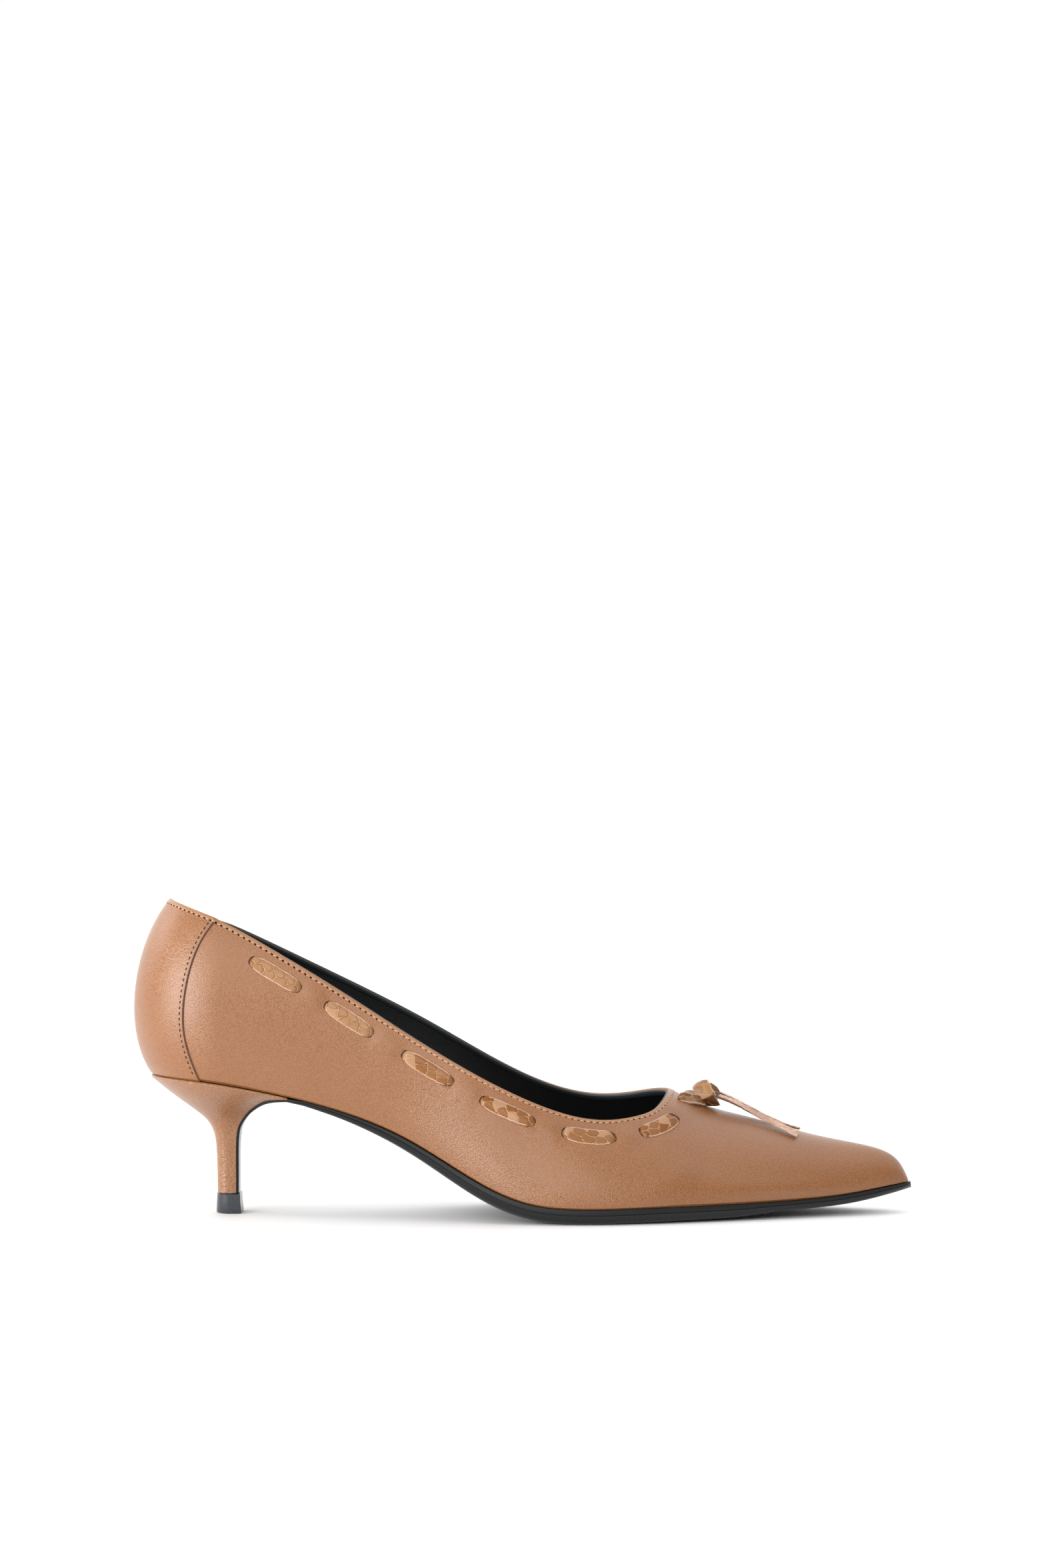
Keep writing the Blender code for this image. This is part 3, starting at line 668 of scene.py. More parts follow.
@dataclass
class Last:
    """The form that the upper is pulled over, as sections across the shoe in millimetres.

    A section is a Bezier wall from the feather edge at t = 0 to the ridge at t = 1. The heel's sections fan
    about a vertical line, so that a station there is an angle, and the toe's crowd to the point.
    """

    fan_x: float = -100.0
    fan_radius: float = 20.0
    heel_back: float = fan_x - fan_radius * math.pi / 2
    throat: float = 49.3
    toe_start: float = 100.0
    toe_x: float = 129.4
    toe_end: float = 158.8
    # station, feather, flare, rise, shoulder
    lateral: Rows = (
        (heel_back, 23.4, 38.0, 0.343, 1.12), (-100.0, 25.2, 22.0, 0.36, 1.08),
        (-62.0, 24.2, 17.0, 0.36, 0.98), (-32.0, 26.5, 14.0, 0.34, 0.84), (0.0, 36.0, 6.0, 0.3, 0.62),
        (25.0, 38.0, 3.0, 0.33, 0.48), (49.3, 33.0, 4.0, 0.38, 0.5), (75.0, 24.3, 6.0, 0.45, 0.52),
        (100.0, 14.8, 6.0, 0.5, 0.55), (120.0, 8.2, 6.0, 0.52, 0.55), (140.0, 3.7, 4.0, 0.55, 0.55),
        (158.8, 0.0, 0.0, 0.55, 0.55),
    )
    medial: Rows = (
        (heel_back, 23.4, 38.0, 0.343, 1.12), (-100.0, 25.2, 22.0, 0.36, 1.08),
        (-62.0, 22.0, 24.0, 0.37, 1.08), (-32.0, 19.4, 29.0, 0.38, 1.1), (0.0, 29.0, 14.0, 0.33, 0.72),
        (30.0, 35.8, 6.0, 0.34, 0.55), (49.3, 33.8, 5.0, 0.4, 0.52), (75.0, 27.0, 6.0, 0.46, 0.53),
        (100.0, 16.8, 6.0, 0.5, 0.55), (120.0, 9.2, 6.0, 0.52, 0.55), (140.0, 4.1, 4.0, 0.55, 0.55),
        (158.8, 0.0, 0.0, 0.55, 0.55),
    )
    # station, across, height
    ridge: Rows = (
        (heel_back, 0.0, 113.5), (-100.0, 0.0, 116.0), (-62.0, 0.3, 106.0), (-32.0, 1.5, 88.0),
        (0.0, 3.0, 64.5), (25.0, 4.0, 50.5), (49.3, 4.0, 41.1), (60.5, 3.8, 35.9), (75.0, 3.5, 31.9),
        (100.0, 2.5, 25.3), (120.0, 1.5, 22.0), (140.0, 0.7, 16.8), (150.0, 0.3, 12.6), (158.8, 0.0, 10.4),
    )
    # station, lateral height, medial height
    topline: Rows = (
        (heel_back, 104.7, 104.7), (-123.6, 104.7, 103.6), (-115.7, 103.9, 101.5), (-107.9, 101.9, 98.8),
        (-100.0, 98.8, 95.7), (-84.5, 90.45, 88.6), (-62.0, 76.85, 77.85), (-32.0, 57.7, 62.7),
        (0.0, 40.6, 45.1), (25.0, 33.25, 37.9), (39.0, 34.4, 39.2), (45.0, 36.9, 40.5), (49.3, 41.1, 41.1),
    )
    # x, height
    bottom: Rows = (
        (-126.0, 46.9), (-106.0, 45.7), (-88.0, 42.8), (-72.0, 39.2), (-56.0, 34.4), (-40.0, 27.7),
        (-24.0, 18.6), (-10.0, 10.9), (2.0, 6.7), (16.0, 5.2), (40.0, 5.3), (70.0, 5.6), (92.0, 6.1),
        (108.0, 7.2), (120.0, 8.9), (131.0, 10.6),
    )

    def __post_init__(self) -> None:
        """Makes the tables' curves."""
        curves = self.about_heel(np.array(self.lateral), np.array(self.medial))
        self.feather, self.flare, self.rise, self.shoulder = curves
        edge = np.array(self.topline)
        (self.edge_height,) = self.about_heel(edge[:, :2], edge[:, ::2])
        ridge = np.array(self.ridge)
        self.ridge_across = Spline(ridge[:, 0], ridge[:, 1])
        self.ridge_height = Spline(ridge[:, 0], ridge[:, 2])
        bottom = np.array(self.bottom)
        self.bottom_height = Spline(bottom[:, 0], bottom[:, 1])

    def about_heel(self, lateral: Array, medial: Array) -> list[Spline]:
        """Curves through two sides' tables as one, from the lateral end round the heel to the medial end.

        Args:
            lateral: the lateral side's rows, with the station first.
            medial: the medial side's rows.

        Returns:
            A curve for each column, over the run from the heel's back, which is negative on the lateral side.
        """
        run = np.concatenate((self.heel_back - lateral[:0:-1, 0], medial[:, 0] - self.heel_back))
        both = np.concatenate((lateral[:0:-1], medial))
        return [Spline(run, column) for column in both[:, 1:].T]

    def frame(self, side: Side, station: Array) -> tuple[Array, Array, Array]:
        """Where the section planes stand.

        Args:
            side: the side of the foot.
            station: places along the last.

        Returns:
            The planes' origin x and the x and y of their outward direction.
        """
        fan = np.clip((self.fan_x - station) / self.fan_radius, 0, math.pi / 2)
        crowded = self.toe_x - (self.toe_end - station) ** 2 / (4 * (self.toe_x - self.toe_start))
        x = np.where(station < self.fan_x, self.fan_x, np.where(station > self.toe_start, crowded, station))
        return x, -np.sin(fan), side.value * np.cos(fan)

    def control(self, side: Side, station: Array) -> tuple[Array, Array]:
        """The sections' Bezier control points.

        Args:
            side: the side of the foot.
            station: places along the last.

        Returns:
            Four values outward and four values up, first axis.
        """
        run = side.value * (station - self.heel_back)
        feather = self.feather(run)
        flare = np.radians(self.flare(run))
        x, out_x, out_y = self.frame(side, station)
        foot = self.bottom_height(x + out_x * feather)
        top = self.ridge_height(station)
        middle = self.ridge_across(station) * out_y
        rise = self.rise(run) * (top - foot)
        shoulder = middle + self.shoulder(run) * (feather - middle)
        out = np.stack((feather, feather + rise * np.sin(flare), shoulder, middle))
        up = np.stack((foot, foot + rise * np.cos(flare), top, top))
        return out, up

    @staticmethod
    def bezier(points: Array, t: Array) -> Array:
        """Cubic Bezier values from four control values, first axis."""
        u = 1 - t
        return points[0] * u**3 + 3 * points[1] * u * u * t + 3 * points[2] * u * t * t + points[3] * t**3

    def point(self, side: Side, station: Array, t: Array) -> Array:
        """Points on the last: each section's Bezier curve, set out from the section's origin.

        Args:
            side: the side of the foot.
            station: places along the last.
            t: places up the wall, from 0 at the feather edge to 1 on the ridge.

        Returns:
            The points.
        """
        station, t = np.broadcast_arrays(np.asarray(station, float), np.asarray(t, float))
        out, up = self.control(side, station)
        x, out_x, out_y = self.frame(side, station)
        reach = self.bezier(out, t)
        return np.stack((x + out_x * reach, out_y * reach, self.bezier(up, t)), -1)

    def normal(self, side: Side, station: Array, t: Array) -> Array:
        """Outward normals of the last: the cross product of small steps along it and up its wall.

        Args:
            side: the side of the foot.
            station: places along the last.
            t: places up the wall.

        Returns:
            Vectors of length 1.
        """
        station, t = np.broadcast_arrays(np.asarray(station, float), np.asarray(t, float))
        step, climb, toe_hold = 0.05, 0.004, 1.5
        held = np.clip(station, self.heel_back + step, self.toe_end - toe_hold)
        t = np.clip(t, climb, 1 - climb)
        ahead = self.point(side, held + step, t) - self.point(side, held - step, t)
        rising = self.point(side, held, t + climb) - self.point(side, held, t - climb)
        normal = np.cross(ahead, rising) * -side.value
        normal[..., 1] = np.where(station <= self.heel_back + 1e-6, 0.0, normal[..., 1])
        return unit(normal)

    def collar(self, side: Side, station: Array) -> Array:
        """Where the topline crosses each section, found by halving.

        Args:
            side: the side of the foot.
            station: places along the last.

        Returns:
            Places up the wall, 1 in front of the throat.
        """
        station = np.asarray(station, float)
        _, up = self.control(side, station)
        height = self.edge_height(side.value * (station - self.heel_back))
        wall = np.zeros(station.shape), np.ones(station.shape)
        low, high = halve(lambda t: self.bezier(up, t) < height, *wall)
        return np.where(station >= self.throat - 1e-6, 1.0, (low + high) / 2)

    def onto(self, side: Side, points: Array) -> tuple[Array, Array]:
        """Drops points onto the last within their section planes.

        Args:
            side: the side of the foot.
            points: points near the last.

        Returns:
            The station and t of the nearest point of each section.
        """
        x, y, z = np.moveaxis(np.asarray(points, float), -1, 0)
        fan = np.arctan2(np.maximum(self.fan_x - x, 0), np.abs(y))
        toe = self.toe_end - np.sqrt(np.maximum(4 * (self.toe_x - self.toe_start) * (self.toe_x - x), 0))
        heel = x < self.fan_x
        station = np.where(heel, self.fan_x - self.fan_radius * fan, np.where(x > self.toe_start, toe, x))
        reach = np.where(heel, np.hypot(x - self.fan_x, y), side.value * y)
        grid = np.linspace(0, 1, 241)
        out, up = self.control(side, station)
        out_at = self.bezier(out[..., None], grid)
        up_at = self.bezier(up[..., None], grid)
        near = np.argmin((out_at - reach[..., None]) ** 2 + (up_at - z[..., None]) ** 2, axis=-1)
        near = np.clip(near, 1, len(grid) - 2)[..., None]
        before_out, after_out = (np.take_along_axis(out_at, near + i, -1)[..., 0] for i in (-1, 1))
        before_up, after_up = (np.take_along_axis(up_at, near + i, -1)[..., 0] for i in (-1, 1))
        run_out = after_out - before_out
        run_up = after_up - before_up
        part = ((reach - before_out) * run_out + (z - before_up) * run_up) / (run_out**2 + run_up**2)
        return station, np.clip(grid[near[..., 0] - 1] + part * (grid[2] - grid[0]), 0, 1)

    def wall(self, side: Side, station: Array, share: Array) -> tuple[Array, Array]:
        """Points and normals of the last at shares of its height up to the topline."""
        t = self.collar(side, station) * share
        return self.point(side, station, t), self.normal(side, station, t)

    def columns(self, side: Side, behind: int, ahead: int, stop: float) -> Array:
        """Stations for a column of points each: even along the topline, and on from the throat to a stop."""
        on = np.linspace(self.throat, stop, ahead)[1:]
        return np.concatenate((self.edge_stations(side, behind), on))[:, None]

    def edge_stations(self, side: Side, count: int) -> Array:
        """Stations at even steps along the topline, from the back to the throat.

        Args:
            side: the side of the foot.
            count: how many stations.

        Returns:
            The stations.
        """
        station = self.crowded(900)
        run = lengths(self.point(side, station, self.collar(side, station)))
        return np.interp(np.linspace(0, run[-1], count), run, station)

    def crowded(self, count: int) -> Array:
        """Stations from the back to the throat, closer together towards the throat."""
        share = np.linspace(0, 1, count)
        return self.heel_back + (self.throat - self.heel_back) * (1 - (1 - share) ** 2)

    def edge_frame(self, side: Side, count: int) -> tuple[Array, Array, Array]:
        """The topline with its directions.

        Args:
            side: the side of the foot.
            count: how many points, at even steps from the back to the throat.

        Returns:
            Points, outward normals, and directions down the leather.
        """
        station = self.edge_stations(side, count)
        place, normal = self.wall(side, station, 1.0)
        forward = unit(np.gradient(place, axis=0))
        forward[0] = (0.0, side.value, 0.0)
        forward[-1] = (0.0, -side.value, 0.0)
        down = unit(np.cross(forward, normal) * -side.value)
        return place, normal, down


class StripLine:
    """The line that the threaded strip follows below the topline of one side, from the back to the throat."""

    def __init__(self, last: Last, side: Side, below: float = 6.7) -> None:
        """Finds the line.

        Args:
            last: the shoe's last.
            side: the side of the foot.
            below: the distance below the topline.
        """
        self.last = last
        self.side = side
        station = last.crowded(500)
        edge, normal = last.wall(side, station, 1.0)
        forward = unit(np.gradient(edge, axis=0))
        self.down = np.cross(forward, normal) * -side.value
        self.place = last.point(side, *last.onto(side, edge + below * self.down))
        self.run = lengths(self.place)

    def at(self, distance: Array, across: Array) -> tuple[Array, Array]:
        """Places on the last beside the line.

        Args:
            distance: distances along the line.
            across: distances across it, downward.

        Returns:
            Points and normals of the last.
        """
        place = rows_at(self.place, self.run, distance)
        down = unit(rows_at(self.down, self.run, distance))
        station, t = self.last.onto(self.side, place + np.asarray(across, float)[..., None] * down)
        return self.last.point(self.side, station, t), self.last.normal(self.side, station, t)

    def nearest(self, points: Array) -> tuple[Array, Array]:
        """Where points lie beside the line, by the nearest of every other point of it.

        Args:
            points: any points.

        Returns:
            Distances along the line and from it.
        """
        flat = points.reshape(-1, 3)
        line = self.place[::2]
        square = (flat**2).sum(1)[:, None] + (line**2).sum(1)[None, :] - 2 * flat @ line.T
        near = square.argmin(1)
        gap = np.sqrt(np.maximum(square[np.arange(len(flat)), near], 0))
        return self.run[::2][near].reshape(points.shape[:-1]), gap.reshape(points.shape[:-1])


@dataclass
class Windows:
    """The oval windows and lead holes.

    A row holds the distance along the strip's line, the length, the offset below the line and the half width.
    """

    lateral: Rows = (
        (59.6, 19.7, 0.0, 2.5), (87.9, 18.9, -0.3, 2.5), (118.4, 19.7, -0.5, 2.4), (148.3, 19.9, -0.1, 2.4),
        (176.4, 18.4, 0.1, 2.7), (202.5, 17.2, 0.0, 2.75),
    )
    medial: Rows = (
        (59.7, 19.7, 0.0, 2.5), (87.3, 18.9, 0.0, 2.5), (116.3, 19.7, 0.0, 2.4), (145.2, 19.9, 0.0, 2.4),
        (172.0, 18.4, 0.0, 2.6), (195.6, 16.2, 0.0, 2.6),
    )
    lead_lateral: tuple[float, ...] = (222.6, 2.6, -1.4, 1.3)
    lead_medial: tuple[float, ...] = (211.4, 3.2, 1.6, 1.2)
    roundness: float = 3.3
    depth: float = 1.3
    proud: float = 2.5
    least: float = 0.12

    def of(self, side: Side) -> Rows:
        """The windows of one side."""
        return side.pick(self.lateral, self.medial)

    def lead(self, side: Side) -> tuple[float, ...]:
        """The lead hole of one side."""
        return side.pick(self.lead_lateral, self.lead_medial)

    def oval(self, run: Array, window: tuple[float, ...]) -> Array:
        """Half widths of a window: a superellipse, so that the sides are long and the ends full.

        Args:
            run: distances from the window's middle.
            window: its row.

        Returns:
            Half widths, no less than a small one at the ends.
        """
        share = np.minimum(np.abs(run) / (window[1] / 2), 1)
        return np.maximum(window[3] * (1 - share**self.roundness) ** (1 / self.roundness), self.least)

    def cutter(self, lines: dict[Side, StripLine], finishes: list[Finish]) -> Piece:
        """Solids that cut the windows and lead holes: each oval carried along the strip's line.

        Args:
            lines: the strip's lines.
            finishes: the finishes of the piece that is cut; the cut faces take the second.

        Returns:
            One object with all the solids.
        """
        maker = Maker()
        for side, line in lines.items():
            for window in self.of(side) + (self.lead(side),):
                run = window[1] / 2 * np.sin(np.linspace(-math.pi / 2, math.pi / 2, 61))
                wide = self.oval(run, window)
                across = window[2] + np.stack((-wide, wide, wide, -wide), -1)
                lift = np.array((-self.depth, -self.depth, self.proud, self.proud))
                place, normal = line.at((window[0] + run)[:, None] + 0 * across, across)
                maker.loft(place + lift[:, None] * normal, slot=1)
        return maker.make("window_cutter", finishes)


@dataclass
class Upper:
    """The lasted leather upper: one hollow shell from the topline to the turned-under margin."""

    last: Last
    lines: dict[Side, StripLine]
    windows: Windows
    wall: float = 1.1
    margin: float = 3.0
    topline_columns: int = 240
    vamp_columns: int = 96
    rows: int = 58
    inner_rows: int = 9
    foot_rows: int = 10
    foot: float = 0.04
    # the strip's lift of the leather and its reach, and the edge's tuck
    lift: float = 0.5
    reach: float = 3.8
    tuck: float = 0.45
    # the wall's share at the toe, where it starts, the length of its taper, and the toe's solid end
    toe_wall: float = 0.3
    toe_from: float = 6.0
    toe_taper: float = 24.0
    toe_solid: float = 1.2
    # soft forms of the leather: station, height over the feather edge, length, height, turn in degrees, depth
    folds: Rows = (
        (-78.0, 20.0, 16.0, 9.0, 20.0, -0.25), (-52.0, 11.0, 14.0, 7.0, 25.0, 0.28),
        (-34.0, 19.0, 12.0, 7.0, 30.0, -0.22), (4.0, 15.0, 9.0, 12.0, 65.0, -0.35),
        (20.0, 15.0, 9.0, 10.0, 70.0, 0.25), (48.0, 8.0, 10.0, 4.5, 30.0, 0.4),
        (60.0, 15.0, 13.0, 5.0, -20.0, -0.4), (80.0, 4.7, 22.0, 2.6, -3.0, 0.35),
        (84.0, 10.0, 20.0, 4.0, -8.0, -0.25),
    )
    # small wrinkles beside two windows: station, height over the feather edge, reach
    puckers: Rows = ((-25.5, 25.2, 1.8), (1.8, 24.9, 1.9))

    def relief(self, side: Side, points: Array, station: Array, share: Array) -> Array:
        """How far the leather stands off the last: over the hidden strip, and in soft folds given in a table.

        Each fold is a bell over station and height, turned by its angle; the strip lifts a band between
        windows.

        Args:
            side: the side of the foot.
            points: points on the last.
            station: their stations.
            share: their share of the wall's height, from the feather edge.

        Returns:
            Heights in millimetres.
        """
        line = self.lines[side]
        distance, gap = line.nearest(points)
        first = self.windows.of(side)[0]
        end = self.windows.lead(side)[0]
        hidden = smooth(first[0] - 6, first[0] + 2, distance) * smooth(end + 1.5, end - 2.5, distance)
        for middle, length, *_ in self.windows.of(side):
            open_part = smooth(length / 2 + 3.5, length / 2 - 1.0, np.abs(distance - middle))
            hidden = hidden * (1 - open_part)
        raised = self.lift * hidden * np.exp(-((gap / self.reach) ** 2))
        over = points[..., 2] - self.last.bottom_height(points[..., 0])
        for at, height, long, tall, turn, depth in self.folds:
            angle = math.radians(turn)
            dx = station - at
            dz = over - height
            u = (dx * math.cos(angle) + dz * math.sin(angle)) / long
            v = (dz * math.cos(angle) - dx * math.sin(angle)) / tall
            raised = raised + depth * np.exp(-(u * u + v * v))
        return raised * smooth(0.0, 0.12, share)

    def wrinkles(self, side: Side, station: Array, over: Array) -> Array:
        """Where the leather wrinkles beside windows: a bell round each place of the table.

        Args:
            side: the side of the foot.
            station: the points' stations.
            over: their heights over the feather edge.

        Returns:
            The wrinkles' strength.
        """
        strength = np.zeros(over.shape)
        for at, height, reach in side.pick(self.puckers, ()):
            strength += np.exp(-((station - at) ** 2 + (over - height) ** 2) / reach**2)
        return strength

    def half(self, maker: Maker, side: Side, tip: Array) -> None:
        """Adds one side of the shell: the outside, the margin turned under, and the inside.

        The outside is the last with its relief, the margin lies level under it, and the inside is the last
        moved in by the wall.

        Args:
            maker: the mesh that takes it.
            side: the side of the foot.
            tip: the toe's point, where the sides meet.
        """
        last = self.last
        station = last.columns(side, self.topline_columns, self.vamp_columns, last.toe_end)
        wall = np.linspace(1, self.foot, self.rows - self.foot_rows)
        share = np.concatenate((wall, np.linspace(self.foot, 0, self.foot_rows + 1)[1:]))[None, :]
        place, normal = last.wall(side, station, share)
        raised = self.relief(side, place, station + 0 * share, share + 0 * station)
        outer = place + (raised - self.tuck * (1 - smooth(0, 0.022, share)))[..., None] * normal
        x, out_x, out_y = last.frame(side, station[:, 0])
        feather = last.feather(side.value * (station[:, 0] - last.heel_back))
        inset = feather - np.minimum(self.margin, 0.6 * feather)
        flat_x = x + out_x * inset
        under = np.stack((flat_x, out_y * inset, last.bottom_height(flat_x)), -1)
        to_toe = (last.toe_x - place[:, :1, :1] - self.toe_from) / self.toe_taper
        thin = np.clip(self.toe_wall + to_toe, self.toe_wall, 1.0)
        inner, inward = last.wall(side, station, np.linspace(self.foot, 1, self.inner_rows)[None, :])
        inner = inner - self.wall * thin * inward
        over = under + np.array((0, 0, 1)) * (self.wall * thin[:, 0])
        outer[-1] = under[-1] = tip
        inner[-1] = over[-1] = tip - np.array((self.toe_solid, 0, 0))
        height = place[..., 2] - last.bottom_height(place[..., 0])
        outside = maker.add(outer, pucker=self.wrinkles(side, station, height))
        lower = maker.add(np.stack((under, over), 1))
        inside = maker.add(inner)
        maker.quads(outside)
        maker.bridge(outside[:, -1], lower[:, 0])
        maker.quads(lower)
        maker.bridge(lower[:, 1], inside[:, 0])
        maker.quads(inside)
        rim = self.topline_columns
        maker.bridge(inside[:rim, -1], outside[:rim, 0])

    def punch(self, piece: Piece, finishes: list[Finish]) -> None:
        """Cuts the windows and lead holes out of the shell and keeps the cut mesh.

        Args:
            piece: the shell.
            finishes: its finishes; the cut faces take the second.
        """
        cutter = self.windows.cutter(self.lines, finishes)
        cut = piece.modifiers.new("windows", "BOOLEAN")
        cut.operation = "DIFFERENCE"
        cut.solver = "EXACT"
        cut.object = cutter
        evaluated = piece.evaluated_get(bpy.context.evaluated_depsgraph_get())
        mesh = bpy.data.meshes.new_from_object(evaluated)
        piece.modifiers.clear()
        piece.data = mesh
        bpy.data.objects.remove(cutter, do_unlink=True)
        soften(mesh, Crease.PUNCHED)

    def build(self) -> None:
        """Makes the shell and cuts its windows."""
        tip = self.last.point(Side.LATERAL, np.array(self.last.toe_end), np.array(0.5))
        maker = Maker()
        for side in Side:
            self.half(maker, side, tip)
        finishes = [FINISHES.leather, FINISHES.window_edge]
        piece = maker.make("upper_leather", finishes)
        self.punch(piece, finishes)
        settle(piece, Slot.LEATHER, "upper")


@dataclass
class Counter:
    """The counter panel round the back of the heel, its front edge cut square and dyed."""

    last: Last
    thickness: float = 0.75
    bevel: float = 0.4
    rows: int = 56
    columns: int = 44
    stitch_back: float = 1.5
    # the lowest share of the wall, the front edge's rounding, the foot's tuck and the inside's sink
    foot: float = 0.003
    rounding: float = 0.12
    tuck: float = 0.45
    sink: float = 0.15
    # the foremost station at which the seam is looked for
    foremost: float = -88.0
    # height, lateral x, medial x
    seam: Rows = (
        (44.0, -105.0, -107.5), (52.0, -108.2, -110.5), (62.0, -110.75, -113.0), (72.0, -110.75, -113.5),
        (84.0, -108.4, -112.0), (93.0, -104.65, -108.8), (101.0, -99.0, -104.0),
    )

    def front(self, side: Side, share: Array) -> Array:
        """Where the panel's front edge lies, found by halving.

        Args:
            side: the side of the foot.
            share: shares of the wall's height.

        Returns:
            Stations of the edge.
        """
        table = np.array(self.seam)
        seam_x = Spline(table[:, 0], table[:, side.pick(1, 2)])

        def behind(station: Array) -> Array:
            """Whether the wall at each station is behind the seam."""
            place, _ = self.last.wall(side, station, share)
            return place[:, 0] < seam_x(place[:, 2])

        start = np.full(share.shape, self.last.heel_back + 1)
        return halve(behind, start, np.full(share.shape, self.foremost))[0]

    def build(self) -> None:
        """Makes the panel: two levels over the last, the upper one set back at the front edge."""
        last = self.last
        maker = Maker()
        share = np.concatenate((np.linspace(self.foot, 0.04, 10), np.linspace(0.04, 1, self.rows)[1:]))
        part = np.append(np.linspace(0, 1, self.columns)[:-1], (0.985, 1.0))
        fall = self.rounding * smooth(0.975, 1.0, part)[:, None]
        tuck = self.tuck * (1 - smooth(0, 0.025, share))
        for side in Side:
            front = self.front(side, share)
            levels = []
            for bevel, high in ((self.bevel, self.thickness), (0.0, -self.sink)):
                station = last.heel_back + (front - bevel - last.heel_back)[None, :] * part[:, None]
                place, normal = last.wall(side, station, share[None, :])
                levels.append(place + (high - fall - tuck)[..., None] * normal)
            outer, inner = (maker.add(level) for level in levels)
            maker.quads(outer)
            maker.quads(inner)
            maker.bridge(outer[-1], inner[-1], slot=1)
            maker.bridge(outer[:, 0], inner[:, 0])
            maker.bridge(outer[:, -1], inner[:, -1])
        piece = maker.make("counter_panel", [FINISHES.leather, FINISHES.edge_dye_and_shade])
        settle(piece, Slot.LEATHER, "heel_counter")

    def stitch_line(self, side: Side) -> tuple[Array, Array]:
        """The line of the seam's stitches on the panel, set back from its front edge.

        Args:
            side: the side of the foot.

        Returns:
            Points from the foot up, and normals.
        """
        share = np.linspace(0.05, 0.965, 200)
        front = self.front(side, share)
        t = self.last.collar(side, front) * share
        back = 0.5
        step = self.last.point(side, front, t) - self.last.point(side, front - back, t)
        station = front - back * self.stitch_back / np.linalg.norm(step, axis=-1)
        place, normal = self.last.wall(side, station, share)
        return place + self.thickness * normal, normal


@dataclass
class Stitching:
    """Rows of lockstitches: short slanted threads, each with a dark dot of painted shade for its needle hole
    at its end.
    """

    radius: float = 0.18
    slant: float = 13.0
    hole_slant: float = -28.0
    sides: int = 8
    rings: int = 9
    dot_rings: int = 5
    dot_rise: float = 0.06
    # a thread's height over the leather at its middle, and its dip at the ends
    rise: float = 0.05
    dip: float = 0.2

    def frames(self, line: Array, normals: Array, at: Array, turn: float) -> Frames:
        """Places on a row with their directions.

        Args:
            line: the row's line on the leather.
            normals: the leather's normals there.
            at: distances along the line.
            turn: degrees by which the forward direction is turned on the leather.

        Returns:
            Places, forward directions, directions aside, and normals.
        """
        step = 0.2
        up = unit(rows_at(normals, lengths(line), at))
        ahead = unit(along(line, at + step) - along(line, at - step))
        across = unit(np.cross(up, ahead))
        angle = math.radians(turn)
        forward = ahead * math.cos(angle) + across * math.sin(angle)
        return along(line, at), forward, unit(np.cross(up, forward)), up

    def threads(self, maker: Maker, frames: Frames, length: float) -> None:
        """Adds threads: rings carried along short arcs that thin out and dip at their ends.

        Args:
            maker: the mesh that takes the threads.
            frames: their places and directions.
            length: a thread's length.
        """
        v = np.linspace(-1, 1, self.rings)
        angle = np.linspace(0, 2 * math.pi, self.sides, endpoint=False)
        thin = self.radius * np.sqrt(np.maximum(1 - np.abs(v) ** 2.4, 0.02))[:, None]
        long = (v * length / 2)[:, None] + 0 * angle
        rise = (self.rise - self.dip * np.abs(v) ** 2.5)[:, None] + thin * np.sin(angle)
        self.lay(maker, frames, (long, thin * np.cos(angle), rise), capped=True)

    def dots(self, maker: Maker, frames: Frames, sizes: Pair) -> None:
        """Adds flat dark dots: low ellipsoids on the leather.

        Args:
            maker: the mesh that takes the dots.
            frames: their places and directions.
            sizes: half length and half width.
        """
        u = np.linspace(0, math.pi, self.dot_rings)[:, None]
        angle = np.linspace(0, 2 * math.pi, self.sides, endpoint=False)
        long = sizes[0] * np.sin(u) * np.cos(angle)
        wide = sizes[1] * np.sin(u) * np.sin(angle)
        self.lay(maker, frames, (long, wide, self.dot_rise * np.cos(u) + 0 * angle), capped=False)

    @staticmethod
    def lay(maker: Maker, frames: Frames, form: tuple[Array, Array, Array], capped: bool) -> None:
        """Sets one small form of rings at every place of a row.

        Args:
            maker: the mesh that takes the forms.
            frames: their places and directions.
            form: its points' distances along the row, aside and up.
            capped: whether its end rings get faces.
        """
        place, forward, aside, up = (part[:, None, None, :] for part in frames)
        long, wide, rise = (part[..., None] for part in form)
        for ring in maker.add(place + long * forward + wide * aside + rise * up):
            maker.quads(ring, wrap=True)
            if capped:
                maker.cap(ring[0])
                maker.cap(ring[-1])


